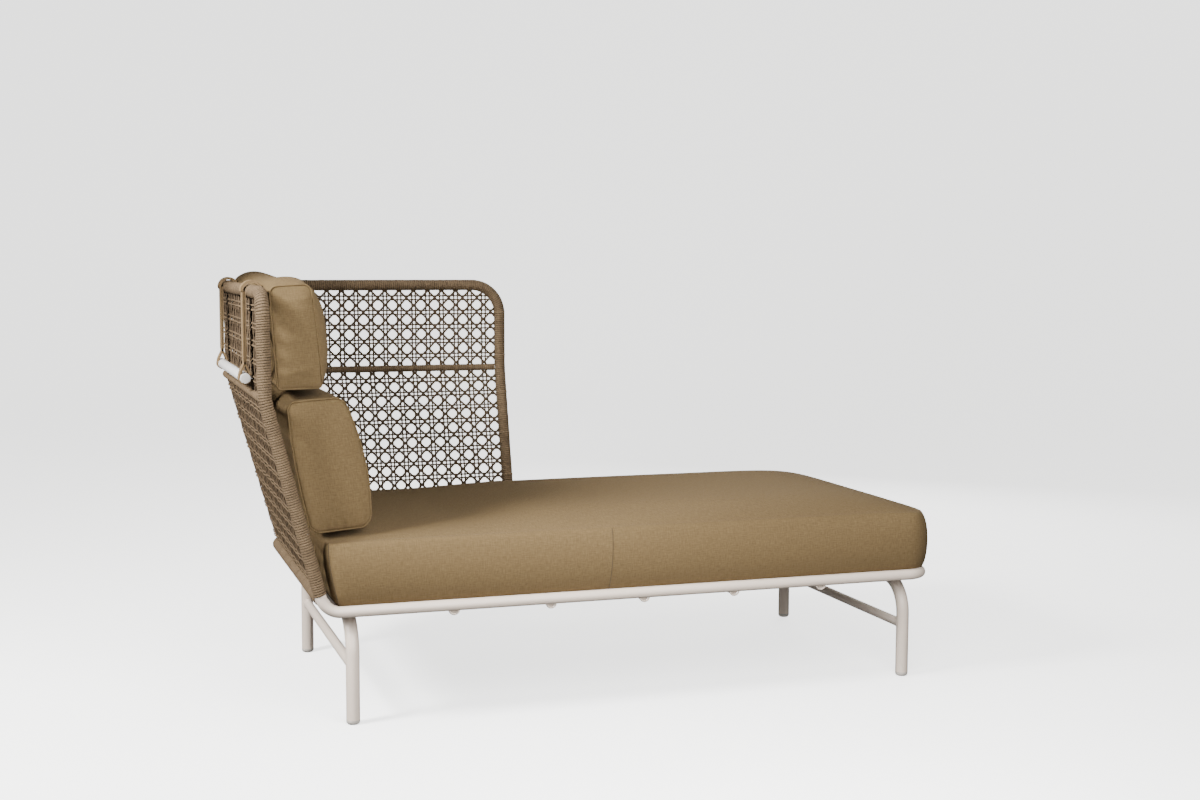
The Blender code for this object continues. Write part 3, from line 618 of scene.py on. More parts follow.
def wind_cord(name, route, begin, end, core_radius, seed):
    """Cord wound round a stretch of a route."""
    draw = random.Random(seed)
    turns = max(1, round((end - begin) / CORD_PITCH))
    spacing = [1 + draw.uniform(-PITCH_SPREAD, PITCH_SPREAD) for _ in range(turns + 1)]
    tones = [draw.uniform(-TURN_TONE, TURN_TONE) for _ in range(turns + 1)]
    starts = [0.0]
    for width in spacing:
        starts.append(starts[-1] + width)
    scale = (end - begin) / starts[turns]
    rises = [draw.uniform(TURN_SINK, TURN_RISE) for _ in range(turns + 2)]

    shape = bmesh.new()
    ring = bmesh.ops.create_circle(shape, segments=CORD_SIDES, radius=1.0)["verts"]
    bmesh.ops.scale(shape, verts=ring, vec=(CORD_THICKNESS / 2 + CORD_PRESS, CORD_PITCH * CORD_OVERLAP, 1.0))
    bmesh.ops.rotate(shape, verts=ring, cent=(0, 0, 0), matrix=Matrix.Rotation(math.pi / 2, 3, "X"))
    bmesh.ops.translate(shape, verts=ring, vec=(core_radius + CORD_THICKNESS / 2, 0.0, 0.0))
    bmesh.ops.spin(shape, geom=shape.verts[:] + shape.edges[:], axis=(0, 0, 1), cent=(0, 0, 0),
                   dvec=(0, 0, CORD_PITCH / WIND_STEPS), angle=2 * math.pi, steps=WIND_STEPS)
    holder = bpy.data.objects.new(name, smooth_mesh(shape, name))
    scene.collection.objects.link(holder)
    repeat = holder.modifiers.new("turns", "ARRAY")
    repeat.count = turns
    repeat.use_relative_offset = False
    repeat.use_constant_offset = True
    repeat.constant_offset_displace = (0.0, 0.0, CORD_PITCH)
    repeat.use_merge_vertices = True
    repeat.merge_threshold = 1e-5
    graph = bpy.context.evaluated_depsgraph_get()
    wound = bpy.data.meshes.new_from_object(holder.evaluated_get(graph))
    bpy.data.objects.remove(holder)
    shape = bmesh.new()
    shape.from_mesh(wound)
    bmesh.ops.holes_fill(shape, edges=[edge for edge in shape.edges if edge.is_boundary])
    bmesh.ops.recalc_face_normals(shape, faces=shape.faces)

    marks, frames = route_frames(route)
    twist = shape.verts.layers.float.new("twist")
    groove = shape.verts.layers.float.new("groove")
    for vert in shape.verts:
        x, y, z = vert.co
        share = (math.atan2(y, x) / (2 * math.pi)) % 1.0
        turn = round(z / CORD_PITCH - share) + share
        turn = min(max(turn, 0.0), turns)
        aside = z - turn * CORD_PITCH
        whole = min(int(turn), turns - 1)
        part = turn - whole
        at = starts[whole] + (starts[whole + 1] - starts[whole]) * part
        out = math.hypot(x, y)
        # Groove value: painted shade, darker the nearer the cord's surface lies to the tube, so the grooves
        # between turns read shaded, plus the turn's random tone.
        vert[groove] = min(max(1 - (out - core_radius) / CORD_THICKNESS, 0.0), 1.0) + tones[whole]
        out += rises[whole] + (rises[whole + 1] - rises[whole]) * part
        point, across, up = lay_along(marks, frames, min(max(begin + at * scale + aside, 0.0), marks[-1]))
        angle = 2 * math.pi * share
        vert.co = point + (across * math.cos(angle) + up * math.sin(angle)) * out
        vert[twist] = 2 * math.pi * (turn * 2 * math.pi * core_radius / TWIST_LENGTH + aside / CORD_PITCH)
    shape.to_mesh(wound)
    shape.free()
    wound.shade_smooth()
    return wound


near_bend, _, corner_in, corner_out, side_bend = back_bends[2:7]
near_top = near_bend - BEND_LEAD
corner_start = corner_in - BEND_LEAD
corner_end = corner_out + BEND_LEAD
side_top = side_bend - BEND_LEAD
back_length = route_marks(back_route)[-1]
windings = [("near_upright", back_route, 0.0, near_top, BACK_RADIUS),
            ("top_end", back_route, near_top, corner_start, BACK_RADIUS),
            ("top_corner", back_route, corner_start, corner_end, BACK_RADIUS),
            ("top_side", back_route, corner_end, side_top, BACK_RADIUS),
            ("side_upright", back_route, side_top, back_length - WRAP_END_MARGIN, BACK_RADIUS)]
for bar, route, bend, radius in (("bottom", bottom_route, bottom_bend, BACK_RADIUS),
                                 ("mid", mid_route, mid_bend, MID_RADIUS)):
    windings.append((f"{bar}_end", route, 0.0, bend[0] - BEND_LEAD, radius))
    windings.append((f"{bar}_corner", route, bend[0] - BEND_LEAD, bend[1] + BEND_LEAD, radius))
    windings.append((f"{bar}_side", route, bend[1] + BEND_LEAD, route_marks(route)[-1], radius))
for seed, (name, route, begin, end, radius) in enumerate(windings):
    winding = make_piece(f"{name}_winding", wind_cord(name, route, begin, end, radius, seed), rope)
    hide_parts(f"{name}_wrap")
    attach(winding, "frame")

# Woven panels
# Six-way cane weave of the same cord between the wound tubes: pairs of upright cords, pairs of level cords
# outside them, and inside them single thicker cords across both ways, over and under each other. The cord is
# painted darker the deeper it lies in the weave: painted shade on its inner side.
PAIR_RADIUS = 0.0020
CROSS_RADIUS = 0.0026
# Painted shade in the weave: the cord darkens from this lift inwards, over this reach, by this much.
SHADE_FROM_LIFT = -0.0024
SHADE_RAMP = 0.0030
INNER_SHADE = 0.42
STRAND_FLATNESS = 0.5
CELL_WIDTH = 0.0365
PAIR_SPREAD = 0.127
END_CELLS = 20
CORNER_CELLS = 3
SIDE_CELLS = 17
LEVEL_LAYER = -0.0020
UPRIGHT_LAYER = -0.0003
CROSS_LAYER = 0.0018
PAIR_LIFT = 0.0006
CROSS_LIFT = 0.0010
STEPS_PER_CELL = 5
JITTER = 0.0009
JITTER_SCALE = 26.0
JITTER_SEED = 1
STRAND_DRIFT = 0.02
SHORTEST_CROSS = 0.15
SLOPE_STEP = 0.02
SIDE_DRAW = 4
STRAND_LEVEL = 1
PANEL_TUCK = 0.006
CELLS = END_CELLS + CORNER_CELLS + SIDE_CELLS
lower_low = BOTTOM_BAR_HEIGHT + PANEL_TUCK
lower_high = MID_BAR_HEIGHT - PANEL_TUCK / 2
upper_low = MID_BAR_HEIGHT + PANEL_TUCK / 2
upper_high = TOP_RAIL_HEIGHT - PANEL_TUCK
ROW_PITCHES = (0.0365, 0.0389)
FIRST_ROWS = (0.65, 0.79)
LEVELS = tuple(zip(("lower", "upper"), (lower_low, upper_low), (lower_high, upper_high),
                   ROW_PITCHES, FIRST_ROWS))


def past_corner(along, height, radius):
    """Whether a place, so far from the upright edge and so high, lies outside a rounded upper corner."""
    aside = radius - along
    above = height - (TOP_RAIL_HEIGHT - radius)
    return aside > 0 and above > 0 and math.hypot(aside, above) > radius


def panel_spot(cell, height):
    """Point of the woven surface, counted in cells from the open edge round the corner to the side edge."""
    out = outset(height)
    if cell <= END_CELLS:
        stop = BASE_WIDTH + out - CORNER_RADIUS
        return end_spot(PANEL_TUCK + (stop - PANEL_TUCK) * cell / END_CELLS, height)
    if cell < END_CELLS + CORNER_CELLS:
        angle = math.pi / 2 * (cell - END_CELLS) / CORNER_CELLS
        return spot(CORNER_RADIUS - out - CORNER_RADIUS * math.cos(angle),
                    BASE_WIDTH + out - CORNER_RADIUS + CORNER_RADIUS * math.sin(angle), height)
    share = (CELLS - cell) / SIDE_CELLS
    stop = SIDE_PANEL_LENGTH - PANEL_TUCK
    if height <= MID_BAR_HEIGHT:
        widest = CORNER_RADIUS - outset(MID_BAR_HEIGHT)
        drawn = CORNER_RADIUS - out - widest
        return side_spot(stop - (stop - widest) * share + drawn * share ** SIDE_DRAW, height)
    start = CORNER_RADIUS - out
    return side_spot(stop + (start - stop) * share, height)


def strand_spot(cell, height, lift):
    """Point of a strand: on the woven surface, moved by its lift and by a little unevenness."""
    point = panel_spot(cell, height)
    ahead = panel_spot(min(cell + SLOPE_STEP, CELLS), height)
    along = ahead - panel_spot(max(cell - SLOPE_STEP, 0.0), height)
    rise = panel_spot(cell, height + SLOPE_STEP) - panel_spot(cell, height - SLOPE_STEP)
    square = along.cross(rise).normalized()
    uneven = noise.noise_vector(point * JITTER_SCALE) * JITTER
    return point + square * lift + uneven


def weave_strands(low, high, pitch, first_row, draw):
    """Routes of the paired strands and of the crossing strands of one panel level, on a flat table."""
    rows = (high - low) / pitch
    pairs, crosses = [], []

    def add_strand(routes, first, last, place, lift):
        count = max(3, math.ceil((last - first) * STEPS_PER_CELL) + 1)
        shift = draw.uniform(-STRAND_DRIFT, STRAND_DRIFT)
        line = []
        for step in range(count):
            run = first + (last - first) * step / (count - 1)
            cell, row = place(run, shift)
            cell = min(max(cell, 0.0), CELLS)
            height = low + min(max(row, 0.0), rows) * pitch
            point = panel_spot(cell, height) - ORIGIN
            if not (past_corner(point.y, height, NEAR_TOP_RADIUS) and cell < END_CELLS
                    or past_corner(SIDE_PANEL_LENGTH - point.x, height, SIDE_TOP_RADIUS)):
                line.append(Vector((cell * CELL_WIDTH, height, lift(cell, row) / STRAND_FLATNESS)))
        if len(line) > 2:
            routes.append(line)

    for column in range(CELLS + 1):
        for side in (-1, 1):
            cell = column + side * PAIR_SPREAD
            if 0 < cell < CELLS:
                add_strand(pairs, 0.0, rows, lambda run, shift, cell=cell: (cell + shift, run),
                           lambda cell_at, row, column=column:
                           UPRIGHT_LAYER + PAIR_LIFT * math.cos(math.pi * (row - first_row + column)))
    for level in range(math.floor(rows - first_row) + 1):
        for side in (-1, 1):
            row = first_row + level + side * PAIR_SPREAD
            if 0 < row < rows:
                add_strand(pairs, 0.0, CELLS, lambda run, shift, row=row: (run, row + shift),
                           lambda cell, row_at, level=level:
                           LEVEL_LAYER - PAIR_LIFT * math.cos(math.pi * (cell + level)))
    for way in (-1, 1):
        for number in range(-math.ceil(rows) - 1, CELLS + math.ceil(rows) + 1):
            base = number + 0.5 - way * first_row
            first = max(0.0, -base) if way > 0 else max(0.0, base - CELLS)
            last = min(rows, CELLS - base) if way > 0 else min(rows, base)
            if last - first > SHORTEST_CROSS:
                add_strand(crosses, first, last,
                           lambda run, shift, base=base, way=way: (base + way * run + shift, run),
                           lambda cell, row, way=way:
                           CROSS_LAYER + way * CROSS_LIFT * math.cos(2 * math.pi * cell))
    return pairs, crosses


weave_rope = rope_finish("woven_cord", ROPE_LIGHT, ROPE_DARK)
noise.seed_set(JITTER_SEED)
for seed, (level, low, high, pitch, first_row) in enumerate(LEVELS):
    pairs, crosses = weave_strands(low, high, pitch, first_row, random.Random(seed))
    for kind, strands, radius in (("cane", pairs, PAIR_RADIUS), ("cross", crosses, CROSS_RADIUS)):
        woven = sweep("weave", strands, radius, STRAND_LEVEL)
        # The groove attribute here is painted shade: the deeper a strand point lies in the weave, the darker
        # it is, so the inner side reads shaded.
        inner_shade = woven.attributes.new("groove", "FLOAT", "POINT")
        for vert, tone in zip(woven.vertices, inner_shade.data):
            along, height, lift = vert.co
            lift *= STRAND_FLATNESS
            tone.value = INNER_SHADE * min(max((lift - SHADE_FROM_LIFT) / SHADE_RAMP, 0.0), 1.0)
            vert.co = strand_spot(along / CELL_WIDTH, height, lift)
        weave = make_piece(f"{level}_{kind}_weave", woven, weave_rope)
        if kind == "cane":
            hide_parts(f"end_{level}_weave", f"corner_{level}_weave", f"side_{level}_weave")
        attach(weave, "frame")

# Weave ties
# Where a level cord ends at the side edge it goes once round the wound tube and back, so a light turn
# crosses the winding at every third row.
TIE_EVERY = 3
TIE_COLOUR = (0.24, 0.17, 0.10)
TIE_STEPS = 20
TIE_THICKNESS = 0.0022
TIE_LIFT = 0.0003
TIE_RADIUS = WRAP_RADIUS + TIE_LIFT
TIE_SEARCH = 0.001

back_marks, back_frames = route_frames(back_route)
ties = []
for _, low, high, pitch, first_row in LEVELS:
    level = 0
    while (first_row + level) * pitch < high - low - PANEL_TUCK:
        tied = low + (first_row + level) * pitch
        distance = side_top
        while distance < back_length and lay_along(back_marks, back_frames, distance)[0].z > tied:
            distance += TIE_SEARCH
        if level % TIE_EVERY == 0 and distance > side_top + TIE_SEARCH:
            point, across, up = lay_along(back_marks, back_frames, distance)
            ties.append([point + (across * math.cos(turn) + up * math.sin(turn)) * TIE_RADIUS
                         for turn in even_turns(2 * math.pi, TIE_STEPS)[:-1]])
        level += 1
tie_rope = rope_finish("tie_cord", TIE_COLOUR, ROPE_LIGHT)
weave_ties = make_piece("weave_ties", sweep("ties", ties, TIE_THICKNESS / 2, STRAND_LEVEL, closed=True),
                        tie_rope)
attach(weave_ties, "frame")

# Counterweight rod
# Painted metal rod with softly broken edges that hangs outside the back and balances the head cushion.
ROD_RADIUS = 0.0115
ROD_EDGE = 0.0012
ROD_COLOUR = (0.78, 0.755, 0.72)
ROD_MARK = (0.70, 0.68, 0.65)

rod_low, rod_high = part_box("counterweight_rod")
rod_middle = (rod_low + rod_high) / 2
half_rod = (rod_high.y - rod_low.y) / 2
rod_paint = coat_finish("rod_white_coat", ROD_COLOUR, ROD_MARK, roughness=0.35, cloud_scale=24.0,
                        cloud_detail=5.0, peel_scale=1200.0, peel_strength=0.1, peel_depth=0.0003)

lower_edge = rounded(ROD_RADIUS, -half_rod, ROD_EDGE)
upper_edge = [(radius, -along) for radius, along in reversed(lower_edge)]
rod_profile = [(0.0, -half_rod), *lower_edge, *upper_edge, (0.0, half_rod)]
weight_rod = make_piece("weight_rod", turned("weight_rod", rod_profile, rod_middle, AXIS_Y), rod_paint)
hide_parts("counterweight_rod")
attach(weight_rod, "counterweight")

# Straps
# Woven webbing laid over the top rail: each strap hangs outside as two layers that part into a loop round the
# rod, and its other end goes down inside between the rail and the head cushion.
STRAP_WIDTH = 0.032
STRAP_LAYER = 0.0042
LAYER_PRESS = 0.0016
SADDLE_THICKNESS = 0.0062
SADDLE_GAP = 0.0005
STRAP_NECK = 0.030
STRAP_TAIL = 0.060
LOOP_STEPS = 28
LOOP_OPENING = math.pi * 0.62
EASE_STEPS = 9
DROP_STEPS = 12
TAIL_STEPS = 6
WIDTH_STEPS = 4
SADDLE_STEPS = 24
STRAP_SHARP = 45
WEB_LIGHT = (0.250, 0.170, 0.086)
WEB_DARK = (0.170, 0.112, 0.056)

webbing, web_shader, tree = new_finish("strap_webbing_weave", WEB_LIGHT, roughness=0.85)
web_shader.inputs["Specular IOR Level"].default_value = 0.2
place = add_node(tree, "TexCoord")
rib, warp = (add_node(tree, "TexWave", {"Scale": scale, "Distortion": uneven},
                      wave_type="BANDS", bands_direction=way)
             for way, scale, uneven in (("Z", 190.0, 0.6), ("Y", 230.0, 0.4)))
thread = add_node(tree, "Math", operation="MULTIPLY")
tint = add_tint(tree, WEB_DARK, WEB_LIGHT)
web_bump = add_node(tree, "Bump", {"Strength": 0.5, "Distance": 0.0004})
wire(tree, (place, "Object", rib, "Vector"), (place, "Object", warp, "Vector"),
     (rib, "Fac", thread, 0), (warp, "Fac", thread, 1), (thread, "Value", tint, "Factor"),
     (tint, "Result", web_shader, "Base Color"), (thread, "Value", web_bump, "Height"),
     (web_bump, "Normal", web_shader, "Normal"))


def strap_mesh(name, outline, width, middle, thickness):
    """Flat strap: an outline in the upright plane drawn out to its width and given its thickness."""
    shape = bmesh.new()
    points = [shape.verts.new((x, middle - width / 2, z)) for x, z in outline]
    edges = [shape.edges.new(pair) for pair in zip(points, points[1:])]
    for _ in range(WIDTH_STEPS):
        drawn = bmesh.ops.extrude_edge_only(shape, edges=edges)["geom"]
        moved = [item for item in drawn if isinstance(item, bmesh.types.BMVert)]
        edges = [item for item in drawn if isinstance(item, bmesh.types.BMEdge)
                 and all(vert in moved for vert in item.verts)]
        bmesh.ops.translate(shape, verts=moved, vec=(0.0, width / WIDTH_STEPS, 0.0))
    shape.normal_update()
    bmesh.ops.solidify(shape, geom=shape.faces[:], thickness=thickness)
    bmesh.ops.recalc_face_normals(shape, faces=shape.faces)
    return smooth_mesh(shape, name, STRAP_SHARP)


loop_radius = ROD_RADIUS + STRAP_LAYER / 2
half_gap = STRAP_LAYER / 2 - LAYER_PRESS
rail_x = ORIGIN.x - top_out
saddle_radius = WRAP_RADIUS + SADDLE_THICKNESS / 2 + SADDLE_GAP
for side in ("near", "far"):
    drop_low, drop_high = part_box(f"{side}_strap_drop")
    middle = (drop_low.y + drop_high.y) / 2
    neck = rod_middle.z + ROD_RADIUS + STRAP_NECK
    outer = [(rod_middle.x - loop_radius * math.sin(turn), rod_middle.z - loop_radius * math.cos(turn))
             for turn in reversed(even_turns(LOOP_OPENING, LOOP_STEPS))]
    shoulder = outer[0]
    ease = []
    for step in range(1, EASE_STEPS):
        share = step / EASE_STEPS
        bend = share * share * (3 - 2 * share)
        ease.append((shoulder[0] + (rod_middle.x - half_gap - shoulder[0]) * bend,
                     shoulder[1] + (neck - shoulder[1]) * share))
    half_ring = [*reversed(ease), *outer]
    loop = [*half_ring, *[(2 * rod_middle.x - x, z) for x, z in reversed(half_ring[:-1])]]
    levels = [drop_high.z + (neck - drop_high.z) * step / DROP_STEPS for step in range(DROP_STEPS + 1)]
    outline = [*((rod_middle.x - half_gap, z) for z in levels), *loop,
               *((rod_middle.x + half_gap, z) for z in reversed(levels))]
    drop = make_piece(f"{side}_hanging_strap",
                      strap_mesh("drop", outline, STRAP_WIDTH, middle, STRAP_LAYER), webbing)
    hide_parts(f"{side}_strap_drop")
    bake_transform(drop)

    arc = [(rail_x - saddle_radius * math.cos(turn), TOP_RAIL_HEIGHT + saddle_radius * math.sin(turn))
           for turn in even_turns(math.pi, SADDLE_STEPS)]
    tail = [(rail_x + saddle_radius, TOP_RAIL_HEIGHT - STRAP_TAIL * step / TAIL_STEPS)
            for step in range(1, TAIL_STEPS + 1)]
    saddle = make_piece(f"{side}_rail_strap",
                        strap_mesh("saddle", arc + tail, STRAP_WIDTH, middle, SADDLE_THICKNESS), webbing)
    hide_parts(f"{side}_strap_saddle")
    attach(saddle, "frame")

# Cushion cloth
# All three cushions have covers of a flat woven linen-like outdoor cloth over foam and fibre: thin warp and
# weft threads with slubs, a little heathered. Panels inflate between their seams, which hold their place.
CLOTH_LIGHT = (0.155, 0.106, 0.051)
CLOTH_DARK = (0.105, 0.071, 0.034)
THREADS_PER_METRE = 700.0
THREAD_WAVE = 2 * math.pi * THREADS_PER_METRE / 20
SLUB_STRETCH = 0.16
SWELL_FRAMES = 20
SWELL_PRESSURE = 4.0
BLOCK_EDGE = 2.0
TOUCH = 1e-6
ON_EDGE = 1 - TOUCH


def cloth_finish(name, coordinate):
    """Woven cover cloth; the threads follow the panels' own map or, on narrow seams, the object's axes."""
    finish, shader, tree = new_finish(name, CLOTH_LIGHT, roughness=0.92)
    shader.inputs["Sheen Weight"].default_value = 0.01
    shader.inputs["Specular IOR Level"].default_value = 0.06
    place = add_node(tree, "TexCoord")
    weave = add_node(tree, "Math", operation="MULTIPLY")
    heather = add_node(tree, "Math", operation="ADD")
    for side, (way, stretch) in enumerate((("X", (1.0, SLUB_STRETCH, 1.0)), ("Y", (SLUB_STRETCH, 1.0, 1.0)))):
        wave = add_node(tree, "TexWave", {"Scale": THREAD_WAVE, "Distortion": 1.2, "Detail": 2.0,
                                          "Detail Scale": 2.5}, wave_type="BANDS", bands_direction=way)
        turn = add_node(tree, "Mapping", {"Scale": stretch})
        slub = add_node(tree, "TexNoise", {"Scale": 430.0, "Detail": 3.0, "Roughness": 0.65})
        wire(tree, (place, coordinate, wave, "Vector"), (place, coordinate, turn, "Vector"),
             (turn, "Vector", slub, "Vector"), (wave, "Fac", weave, side), (slub, "Fac", heather, side))
    spread = add_node(tree, "MapRange", {"From Min": 0.72, "From Max": 1.28})
    tint = add_tint(tree, CLOTH_DARK, CLOTH_LIGHT)
    height = add_node(tree, "Math", {1: 0.5}, operation="MULTIPLY_ADD")
    bump = add_node(tree, "Bump", {"Strength": 0.45, "Distance": 0.0005})
    wire(tree, (heather, "Value", spread, "Value"), (spread, "Result", tint, "Factor"),
         (tint, "Result", shader, "Base Color"), (heather, "Value", height, 0), (weave, "Value", height, 2),
         (height, "Value", bump, "Height"), (bump, "Normal", shader, "Normal"))
    return finish


cover_cloth = cloth_finish("cushion_cover_cloth", "UV")
seam_cloth = cloth_finish("cushion_seam_cloth", "Object")


def puff(distance, reach):
    """Share of its full rise that a panel has at a distance from its seam."""
    return 1 - math.exp(-max(distance, 0.0) / reach)


def cushion_mesh(name, size, cell, form, on_seam):
    """Cover of a cushion: cloth cells on a block, mapped panel by panel, then formed; seams are noted."""
    shape = bmesh.new()
    bmesh.ops.create_cube(shape, size=BLOCK_EDGE)
    for axis in range(3):
        rods = [edge for edge in shape.edges
                if abs(edge.verts[0].co[axis] - edge.verts[1].co[axis]) > BLOCK_EDGE / 2]
        bmesh.ops.subdivide_edges(shape, edges=rods, cuts=round(size[axis] / cell) - 1, use_grid_fill=True)
    shape.normal_update()
    panel_map = shape.loops.layers.uv.new("panel_map")
    for face in shape.faces:
        away = max(range(3), key=lambda axis: abs(face.normal[axis]))
        first, second = [axis for axis in range(3) if axis != away]
        for loop in face.loops:
            spot_on = loop.vert.co
            loop[panel_map].uv = (spot_on[first] * size[first] / 2 + away,
                                  spot_on[second] * size[second] / 2)
    places = [vert.co.copy() for vert in shape.verts]
    seams = [index for index, place in enumerate(places) if on_seam(*place)]
    for vert in shape.verts:
        vert.co = form(*vert.co)
    bmesh.ops.recalc_face_normals(shape, faces=shape.faces)
    return smooth_mesh(shape, name), seams, places


def swell(cushion, limit):
    """Let a cover swell as cloth under pressure between its seams, and keep each point near its form."""
    starts = [vert.co.copy() for vert in cushion.data.vertices]
    cloth = cushion.modifiers.new("swell", "CLOTH")
    settings = cloth.settings
    settings.quality = 6
    settings.mass = 0.25
    settings.tension_stiffness = 25
    settings.compression_stiffness = 20
    settings.shear_stiffness = 8
    settings.bending_stiffness = 0.4
    settings.use_pressure = True
    settings.uniform_pressure_force = SWELL_PRESSURE
    settings.vertex_group_mass = "seams"
    settings.effector_weights.gravity = 0.0
    for number in range(1, SWELL_FRAMES + 1):
        scene.frame_set(number)
    graph = bpy.context.evaluated_depsgraph_get()
    moved = [vert.co.copy() for vert in cushion.evaluated_get(graph).data.vertices]
    cushion.modifiers.remove(cloth)
    for vert, start, now in zip(cushion.data.vertices, starts, moved):
        shift = now - start
        vert.co = start + shift * (limit / (limit + shift.length))
    scene.frame_set(1)


def add_cushion(name, size, cell, form, on_seam, limit, crease=None):
    """Cushion piece with its cover swollen between pinned seams, creased and smoothed."""
    mesh, seams, places = cushion_mesh(name, size, cell, form, on_seam)
    cushion = make_piece(name, mesh, cover_cloth)
    pins = cushion.vertex_groups.new(name="seams")
    pins.add(seams, 1.0, "REPLACE")
    swell(cushion, limit)
    if crease:
        for vert, place in zip(mesh.vertices, places):
            vert.co += crease(*place)
    smooth = cushion.modifiers.new("smooth", "SUBSURF")
    smooth.levels = 1
    smooth.render_levels = 1
    return cushion


# Seat cushion
# Long box cushion with a top panel, a bottom panel and a band between them, laid loose on the cross bars. The
# band is joined at the open side's middle and at the head corner. Its foam is pressed down a little at the
# head end, where the back cushion stands and slides.
SEAT_START = 0.022
SEAT_STOP = 1.456
SEAT_NEAR = -0.0015
SEAT_FAR = 0.7581
SEAT_REST = 0.2719
SEAT_THICKNESS = 0.128
SEAT_CROWN = 0.041
SEAT_PUFF = 0.068
SEAT_PRESSED = 0.019
PRESSED_UNTIL = 0.30
FULL_FROM = 0.56
SEAT_BULGE = 0.009
SEAT_HEAD_SLANT = 0.024
SEAT_SLANT_REACH = 0.2
SEAT_HELD = 0.4
NEAR_EDGE = 0.99
SEAT_TOP_EDGE = 0.024
SEAT_LOW_EDGE = 0.010
SEAM_GROOVE = 0.0016
SEAT_FOOT_RADIUS = 0.060
SEAT_HEAD_RADIUS = 0.018
SEAT_CELL = 0.0115
SEAT_LIMIT = 0.004
SEAM_RADIUS = 0.0008
SEAM_PLACES = (0.6436, 0.6347)
SEAM_STEPS = 24
# Dark colour of the seat's seam lines: painted shade of the seam crease.
SEAM_SHADE_COLOUR = (0.062, 0.042, 0.021)

seat_half = Vector(((SEAT_STOP - SEAT_START) / 2, (SEAT_FAR - SEAT_NEAR) / 2, SEAT_THICKNESS / 2))
seat_middle = spot((SEAT_START + SEAT_STOP) / 2, (SEAT_NEAR + SEAT_FAR) / 2, SEAT_REST + SEAT_THICKNESS / 2)


def round_corners(x, y, half_x, half_y, radius):
    """Point of a rectangle after its corners are rounded, inside it too, and the way out near its edge."""
    inner = Vector((max(min(x, half_x - radius), radius - half_x),
                    max(min(y, half_y - radius), radius - half_y)))
    reach = Vector((x, y)) - inner
    if reach.length < 1e-9:
        return inner, Vector((0.0, 0.0))
    away = reach.normalized()
    return inner + away * max(abs(reach.x), abs(reach.y)), away


def seat_form(a, b, c):
    """Point of the seat's cover from its place on the block."""
    radius = SEAT_FOOT_RADIUS if a > 0 else SEAT_HEAD_RADIUS
    flat, away = round_corners(a * seat_half.x, b * seat_half.y, seat_half.x, seat_half.y, radius)
    point = Vector((flat.x, flat.y, c * seat_half.z))
    out = Vector((away.x, away.y, 0.0))
    inward = min((1 - abs(a)) * seat_half.x, (1 - abs(b)) * seat_half.y)
    edge = SEAT_TOP_EDGE if c > 0 else SEAT_LOW_EDGE
    below = (1 - abs(c)) * seat_half.z
    if inward < edge and below < edge and away.length > 0.5:
        turn = math.pi / 4 * (1 + inward / edge - below / edge)
        groove = SEAM_GROOVE if inward < TOUCH and below < TOUCH else 0.0
        point += out * (inward - edge + (edge - groove) * math.cos(turn))
        point.z += math.copysign(below - edge + (edge - groove) * math.sin(turn), c)
    if inward < TOUCH:
        point += out * SEAT_BULGE * (1 - c * c) * (SEAT_HELD if b > NEAR_EDGE or a < -NEAR_EDGE else 1.0)
    if c > ON_EDGE:
        share = ((SEAT_START + SEAT_STOP) / 2 + flat.x - PRESSED_UNTIL) / (FULL_FROM - PRESSED_UNTIL)
        share = min(max(share, 0.0), 1.0)
        crown = SEAT_CROWN - SEAT_PRESSED * (1 - share * share * (3 - 2 * share))
        along_share = puff((1 - abs(a)) * seat_half.x, SEAT_PUFF)
        point.z += crown * along_share * puff((1 - abs(b)) * seat_half.y, SEAT_PUFF)
    head_share = max(0.0, 1 - (a + 1) * seat_half.x / SEAT_SLANT_REACH)
    point.x -= SEAT_HEAD_SLANT * (point.z + seat_half.z) / SEAT_THICKNESS * head_share
    return seat_middle + point


def seat_seam(a, b, c):
    """Whether a place on the block lies on the seat's seams."""
    return abs(c) > ON_EDGE and max(abs(a), abs(b)) > ON_EDGE


seat = add_cushion("seat_pad", seat_half * 2, SEAT_CELL, seat_form, seat_seam, SEAT_LIMIT)
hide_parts("seat_cushion")
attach(seat, "seat")


def square_loop(steps):
    """Places round the edge of a square, corner to corner."""
    walk = [2 * step / steps - 1 for step in range(steps)]
    return ([(value, -1.0) for value in walk] + [(1.0, value) for value in walk]
            + [(-value, 1.0) for value in walk] + [(-1.0, -value) for value in walk])


def seat_band_seam(top_x, low_x):
    """Upright seam of the band on the open side, from its top to its bottom."""
    line = []
    for step in range(SEAM_STEPS + 1):
        level = 1 - 2 * step / SEAM_STEPS
        x = top_x + (low_x - top_x) * step / SEAM_STEPS
        line.append(seat_form((x - (SEAT_START + SEAT_STOP) / 2) / seat_half.x, -1.0, level))
    return line


head_seam = SEAT_START + SEAT_HEAD_RADIUS / 3
cover = BVHTree.FromPolygons([vert.co for vert in seat.data.vertices],
                             [face.vertices for face in seat.data.polygons])
seat_lines = [[cover.find_nearest(point)[0] for point in seat_band_seam(*places)]
              for places in (SEAM_PLACES, (head_seam, head_seam))]
# The seam lines are coloured darker than the cloth as painted shade in the seam's crease.
painted_seam_shade, _, _ = new_finish("painted_seam_shade", SEAM_SHADE_COLOUR, roughness=0.95)
seat_seams = make_piece("seat_seams", sweep("seams", seat_lines, SEAM_RADIUS, 1), painted_seam_shade)
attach(seat_seams, "seat")

